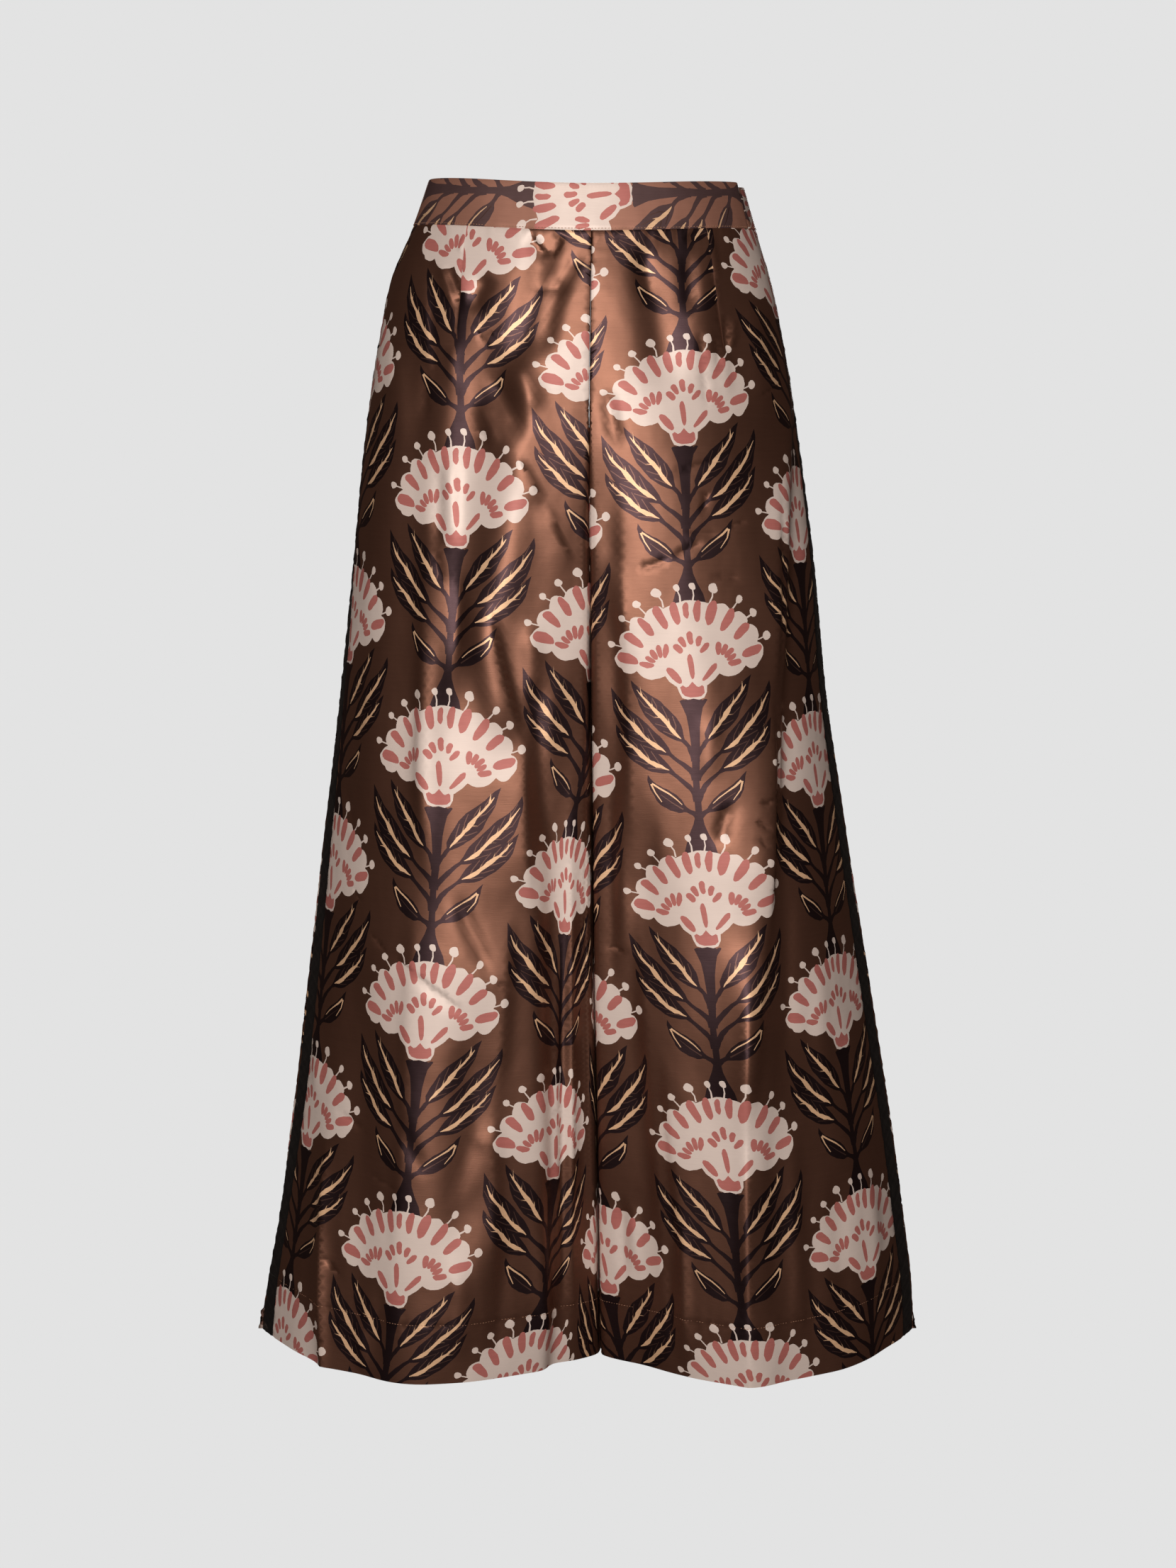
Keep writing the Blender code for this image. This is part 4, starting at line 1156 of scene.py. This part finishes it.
# The waistband's print takes the lighter copies of the ground and aubergine, with painted light.
PRINTED_BAND_PAINTED_LIGHT = {**PRINTED, "": "band_painted_light_ground", "aubergine": "band_painted_light_aubergine"}
PRINT_BEHIND = {"": "reverse", **{colour: "reverse_light" for colour in ("cream", "coral", "gold")}}


# ---------------------------------------------------------------- the pieces
def panel_wall(z):
    """A panel's thickness, with the turned-up hem."""
    return PANEL_WALL + (HEM_WALL - PANEL_WALL) * ease((HEM_Z + HEM_DEPTH - z) / HEM_FADE)


# Where the print lies on each panel: a stem's place at the waist's height and the foot of one of
# its flowers, how the stems flare outward with the leg, how the cloth is pulled long, and what
# the dart takes in at the waist.
PRINT_COLUMNS = ("leg", "face", "stem", "foot", "flare", "pull", "dart")
PRINTS = [
    ("right", "front", 0.1075, -0.4958, 0.1015, 1.012, 0.020),
    ("left", "front", 0.0760, -0.6126, 0.0790, 0.985, 0.036),
    ("right", "back", 0.0620, -0.4400, 0.0950, 1.000, 0.024),
    ("left", "back", 0.0960, -0.5300, 0.0900, 1.000, 0.024),
]
FLARE_POWER = 2.3
SIDE_LIFT = 0.04             # how much a row of flowers rises towards the side
BUNDLE_REACH = 0.035         # how far from the right leg's corner its cloth is bundled
BUNDLE_SHARE = 0.45          # the room that the bundled cloth has left
BUNDLE_TOP = -0.40           # the height where the bundle begins
BUNDLE_FADE = 0.15           # and over which it comes in


def dart_line(leg, face):
    """A dart's seam laid out flat: where it stands at its point, its slope and its point's height."""
    dart = lines(CREASE_COLUMNS, CREASES, leg, face)[0]
    x_top, z_top, x_point, z_point = (dart[key] for key in ("x0", "z0", "x1", "z1"))
    ends = []
    for x, z in ((x_top, z_top), (x_point, z_point)):
        along = np.linspace(0.0, float(half_length(leg, face, z)), 400)
        placed = plan_point(leg, face, along, np.full(along.shape, z))[0]
        ends.append(along[-1] - along[np.abs(placed - x).argmin()])
    return ends[1], (ends[0] - ends[1]) / (z_top - z_point), z_point


def sew_dart(layers, dart, taken):
    """Shifts the print that lies beyond a dart by the cloth that the dart takes in.

    A shape that lies on both sides comes twice, each marked with the side where it shows."""
    at_point, slope, z_point = dart
    wedge = taken / (-BAND_HALF - z_point)
    sewn = []
    for colour, points, _ in layers:
        up = np.clip(points[:, 1] - z_point, 0.0, None)
        line = at_point + slope * up
        moved = points - np.column_stack([wedge * up, np.zeros(len(up))])
        if up.max() == 0 or (points[:, 0] < line).all():
            sewn.append((colour, points, ""))
        elif (moved[:, 0] > line).all():
            sewn.append((colour, moved, ""))
        else:
            sewn += [(colour, points, "near"), (colour, moved, "far")]
    return sewn


def stitches(name, surface, turn, path, material):
    """A row of stitches along a flat line: short bedded capsules in one mesh.

    A stitch is three rings of six points between its two end points, twenty in all."""
    rng = np.random.default_rng(len(path))
    path = np.array(path)
    walked = np.append(0.0, np.cumsum(np.hypot(*np.diff(path, axis=0).T)))
    middles = np.arange(STITCH_PITCH / 2, walked[-1] - STITCH_PITCH / 2, STITCH_PITCH)
    middles = middles + rng.uniform(-0.06, 0.06, len(middles)) * STITCH_PITCH

    def place(at):
        flat = np.column_stack([np.interp(at, walked, path[:, 0]), np.interp(at, walked, path[:, 1])])
        return surface(flat[:, 0], flat[:, 1]), flat

    centre, flat = place(middles)
    along = place(middles + STITCH_LENGTH / 2)[0] - place(middles - STITCH_LENGTH / 2)[0]
    along /= np.linalg.norm(along, axis=1)[:, None]
    normal = surface_normals(surface, flat, turn)
    across = np.cross(normal, along)
    rings = ((-STITCH_SHOULDER, STITCH_SHOULDER), (0.0, 1.0), (STITCH_SHOULDER, STITCH_SHOULDER))
    verts, faces = [], []
    for k in range(len(middles)):
        first = len(verts)
        half_stitch = STITCH_LENGTH / 2 * rng.uniform(0.88, 1.08)
        origin = centre[k] + normal[k] * STITCH_RADIUS * STITCH_PROUD
        dip = normal[k] * STITCH_RADIUS * STITCH_DIP
        verts.append(origin - along[k] * half_stitch - dip)
        for step, size in rings:
            for corner in range(6):
                c, s = math.cos(math.pi * corner / 3), math.sin(math.pi * corner / 3)
                round_it = (across[k] * c + normal[k] * s) * STITCH_RADIUS * size
                verts.append(origin + along[k] * half_stitch * step + round_it)
        verts.append(origin + along[k] * half_stitch - dip)
        last = first + 19
        for corner in range(6):
            following = (corner + 1) % 6
            faces.append((first, first + 1 + following, first + 1 + corner))
            for ring in (0, 6):
                a, b = first + 1 + ring + corner, first + 1 + ring + following
                faces.append((a, b, b + 6, a + 6))
            faces.append((last, first + 13 + corner, first + 13 + following))
    row = cloth_object(name, [tuple(v) for v in verts], faces, np.repeat(flat, 20, axis=0), [material])
    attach(row, "root")
    return row


def finish_piece(piece, node, rim):
    """Hangs a piece of cloth on the root body and hides its CAD node; the area of its flat outline is worked
    out but not kept.
    """
    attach(piece, "root")
    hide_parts(node)
    flat_area(rim)


def bending(leg, face):
    """Tells where a panel is folded enough to need its points closer."""
    def bends(s, z):
        def height(s, z):
            along = np.clip(half_length(leg, face, z) - s, 0.0, None)
            return drape_height(leg, face, np.minimum(along, half_length(leg, face, z)), z)

        here = 2 * height(s, z)
        across = height(s + FOLD_STEP, z) + height(s - FOLD_STEP, z) - here
        down = height(s, z + FOLD_STEP) + height(s, z - FOLD_STEP) - here
        corner = (np.abs(s) < CORNER_REACH) & (z < CROTCH_TOP[face])
        return (s > -CORNER_REACH) & ((np.abs(across) + np.abs(down) > FOLD_BEND) | corner)

    return bends


def leg_panel(leg, face):
    """One front or back panel with its print, its dart and the stitches of its hem."""
    place = next(dict(zip(PRINT_COLUMNS, row)) for row in PRINTS if row[:2] == (leg, face))
    rim = panel_rim(leg, face)
    turn = -LEG_SIGN[leg] * FACE_SIGN[face]

    def to_flat(u, v):
        z = place["foot"] + v * place["pull"] + SIDE_LIFT * turn * u
        s = place["stem"] + turn * u + place["flare"] * np.abs(z) ** FLARE_POWER
        if (leg, face) == ("right", "front"):
            share = 1 - (1 - BUNDLE_SHARE) * ease((BUNDLE_TOP - z) / BUNDLE_FADE)
            s = np.where(s < BUNDLE_REACH, BUNDLE_REACH - (BUNDLE_REACH - s) * share, s)
        return np.column_stack([s, z])

    layers = print_shapes(to_flat, range(-4, 5), range(-5, 4), rim)
    dart = dart_line(leg, face)
    layers = sew_dart(layers, dart, place["dart"])
    surface = panel_surface(leg, face)
    panel = shell(f"cloth_{face}_{leg}", rim, layers, surface, turn, panel_wall,
                  PRINTED, PRINT_BEHIND, bends=bending(leg, face), dart=dart)
    hem = HEM_Z + HEM_DEPTH
    ends = (float(panel_middle(face, hem)) + HEM_STITCH_END,
            float(panel_side(leg, face, hem)) - HEM_STITCH_END)
    row = stitches(f"hem_stitches_{face}_{leg}", surface, turn,
                   [(s, hem) for s in np.linspace(*ends, LONG_ROW)], "thread")
    finish_piece(panel, f"{face}_{leg}", rim)


# Where the print lies on each band, turned a quarter: the foot of a flower along the band,
# the height of its stem, and the direction along the band that the flower points.
BAND_PRINTS = {"front": (0.033, 0.0100, -1.0), "back": (0.128, 0.002, 1.0)}


def band_surface(face):
    """The function that puts a flat point of a waistband half in its place; s runs from its middle."""
    def surface(s, z):
        points = np.empty((len(z), 3))
        for leg, chosen in (("right", s < 0), ("left", s >= 0)):
            if not chosen.any():
                continue
            here, high = np.abs(s[chosen]), z[chosen]
            whole = {side: float(half_length(leg, side, 0.0)) for side in FACE_SIGN}
            if face == "front":
                around = whole["front"] - here
                to_end = around - BAND_SPLIT[leg]
            else:
                around = here - whole["back"]
                to_end = BAND_SPLIT[leg] - around
            scale = np.where(around >= 0, half_length(leg, "front", high) / whole["front"],
                             half_length(leg, "back", high) / whole["back"])
            lift = BAND_PROUD + roll_in(high + BAND_HALF) + 0.4 * roll_in(BAND_HALF - high)
            lift = lift + roll_in(to_end)
            lift += pucker("band", s[chosen], 41, high + BAND_HALF)
            lift += 0.0005 * waves(s[chosen] + 0.4 * high, (0.061, 0.097), 42)
            placed = cloth(leg, around * scale, high, lift)
            if face == "back" and leg == "left":
                drop = OPENING_DROP * ease(1 - to_end / OPENING_REACH)
                placed[:, 2] -= drop * (high + BAND_HALF) / (2 * BAND_HALF)
            points[chosen] = placed
        return points

    return surface


def waistband(face):
    """The front or back half of the waistband, with the stitches along its lower edge."""
    ends = {}
    for leg in LEG_SIGN:
        whole = float(half_length(leg, face, 0.0))
        split = BAND_SPLIT[leg] - FACE_SIGN[face] * SEAM_GAP / 2
        ends[leg] = whole - split if face == "front" else whole + split
    low, high = -ends["right"], ends["left"]
    rim = [(s, -BAND_HALF) for s in steps(low, high, BAND_SPACING)]
    rim += [(high, z) for z in steps(-BAND_HALF, BAND_HALF, BAND_SPACING)]
    rim += [(s, BAND_HALF) for s in steps(high, low, BAND_SPACING)]
    rim += [(low, z) for z in steps(BAND_HALF, -BAND_HALF, BAND_SPACING)]
    foot, stem, points_to = BAND_PRINTS[face]

    def to_flat(u, v):
        return np.column_stack([foot + points_to * v, stem - points_to * u])

    layers = print_shapes(to_flat, range(0, 1), range(-3, 4), rim)
    turn = -FACE_SIGN[face]
    surface = band_surface(face)
    # the band's ground and aubergine are lighter copies, with painted light
    band = shell(f"cloth_waistband_{face}", rim, layers, surface, turn,
                 lambda z: np.full(z.shape, BAND_WALL), PRINTED_BAND_PAINTED_LIGHT, PRINTED_BAND_PAINTED_LIGHT, BAND_SPACING)
    line = np.linspace(low + STITCH_END, high - STITCH_END, LONG_ROW)
    row = stitches(f"edge_stitches_{face}", surface, turn, [(s, -BAND_HALF + EDGE_STITCH) for s in line],
                   "thread")
    finish_piece(band, f"waistband_{face}", rim)


def stripe_surface(leg):
    """The function that puts a flat point of a side stripe in its place; s runs from its back seam."""
    def plain(s, z):
        seams = np.minimum(s, STRIPE_WIDTH - s)
        crinkle = 0.00055 * waves(z + 0.5 * s, (0.0075, 0.012, 0.019), 51)
        crinkle += 0.00045 * waves(z - 0.8 * s, (0.010, 0.016, 0.031), 52)
        hem = z - (HEM_Z + HEM_DEPTH)
        stitched = -0.0004 * np.exp(-(hem / GROOVE_REACH) ** 2)
        lift = roll_in(seams) + crinkle * ease(seams / 0.004 + 0.3) + stitched
        return cloth(leg, stripe_back_seam(leg, z) + s, z, lift)

    def surface(s, z):
        return rounded(plain, s, z, -stripe_back_seam(leg, z), np.full(z.shape, SIDE_ROUND))

    return surface


def side_stripe(leg):
    """A side stripe with the stitches of its hem."""
    top = -BAND_HALF - SEAM_GAP
    left, right = SEAM_GAP / 2, STRIPE_WIDTH - SEAM_GAP / 2
    rim = [(right, z) for z in steps(HEM_Z, top, STRIPE_SPACING)]
    rim += [(s, top) for s in steps(right, left, STRIPE_SPACING)]
    rim += [(left, z) for z in steps(top, HEM_Z, STRIPE_SPACING)]
    rim += [(s, HEM_Z) for s in steps(left, right, STRIPE_SPACING)]
    surface, black = stripe_surface(leg), {"": "black"}
    stripe = shell(f"cloth_side_stripe_{leg}", rim, [], surface, -LEG_SIGN[leg], panel_wall,
                   black, black, STRIPE_SPACING)
    line = np.linspace(left + STITCH_END, right - STITCH_END, SHORT_ROW)
    row = stitches(f"hem_stitches_stripe_{leg}", surface, -LEG_SIGN[leg],
                   [(s, HEM_Z + HEM_DEPTH) for s in line], "black_thread")
    finish_piece(stripe, f"side_stripe_{leg}", rim)


# ---------------------------------------------------------------- camera, floor and lamps
SENSOR_WIDTH, LENS = 36.0, 64.286   # in millimetres
CAMERA_PLACE = (0.0, -2.4, -0.20)
LOOKS_DOWN = 6.941           # the camera's tilt, in degrees
FILL = (1.0, 0.80, 0.70)     # warm light from all round
FILL_STRENGTH = 0.05
# Each lamp: its place, what it faces, its width and height, and its power in watts.
LAMPS = {
    "key": ((-0.22, -2.7, 0.20), (0.0, 0.0, -0.20), (1.05, 1.7), 84.0),
    "back": ((0.20, 2.7, -0.25), (0.0, 0.0, -0.25), (1.1, 2.6), 78.0),
}


def add_camera():
    data = bpy.data.cameras.new("camera")
    data.sensor_width, data.lens = SENSOR_WIDTH, LENS
    camera = add_object("camera", data)
    camera.location = CAMERA_PLACE
    camera.rotation_euler = (math.radians(90 - LOOKS_DOWN), 0.0, 0.0)
    bpy.context.scene.camera = camera


def area_light(name, place, target, size, power):
    """A soft lamp at a place, turned to a target."""
    data = bpy.data.lights.new(name, "AREA")
    data.shape = "RECTANGLE"
    data.size, data.size_y = size
    data.energy = power
    light = add_object(name, data)
    light.location = place
    light.rotation_euler = (Vector(target) - Vector(place)).to_track_quat("-Z", "Y").to_euler()


def add_floor():
    """A plain pale floor of the background's tone; it throws no light back, as the photo shows none."""
    floor = bpy.data.meshes.new("floor")
    ring = [(FLOOR_RADIUS * math.cos(turn), FLOOR_RADIUS * math.sin(turn), FLOOR_Z)
            for turn in np.linspace(0.0, 2 * math.pi, FLOOR_CORNERS + 1)[:-1]]
    floor.from_pydata(ring, [], [tuple(range(FLOOR_CORNERS))])
    material, _, _, shader = new_material("pale_floor")
    shader.inputs["Base Color"].default_value = (0.0, 0.0, 0.0, 1.0)
    shader.inputs["Specular IOR Level"].default_value = 0.0
    shader.inputs["Emission Color"].default_value = (*BACKGROUND, 1.0)
    shader.inputs["Emission Strength"].default_value = 1.0
    floor.materials.append(material)
    obj = add_object("floor", floor)
    obj.visible_diffuse = obj.visible_glossy = obj.visible_shadow = False


def add_studio():
    """A pale background that the camera sees, a weak warm fill, and one soft lamp on each side."""
    world = bpy.data.worlds.new("studio")
    world.use_nodes = True
    bpy.context.scene.world = world
    nodes, links = world.node_tree.nodes, world.node_tree.links
    seen = nodes["Background"]
    seen.inputs["Color"].default_value = (*BACKGROUND, 1.0)
    seen.inputs["Strength"].default_value = 1.0
    fill = nodes.new("ShaderNodeBackground")
    fill.inputs["Color"].default_value = (*FILL, 1.0)
    fill.inputs["Strength"].default_value = FILL_STRENGTH
    path = nodes.new("ShaderNodeLightPath")
    mix = nodes.new("ShaderNodeMixShader")
    links.new(path.outputs["Is Camera Ray"], mix.inputs[0])
    links.new(fill.outputs[0], mix.inputs[1])
    links.new(seen.outputs[0], mix.inputs[2])
    links.new(mix.outputs[0], nodes["World Output"].inputs["Surface"])
    for name, sizes in LAMPS.items():
        area_light(name, *sizes)
    bpy.context.scene.view_settings.view_transform = "Standard"


def build():
    for face in ("front", "back"):
        waistband(face)
    for leg in LEG_SIGN:
        for face in ("front", "back"):
            leg_panel(leg, face)
        side_stripe(leg)
    add_camera()
    add_floor()
    add_studio()


build()
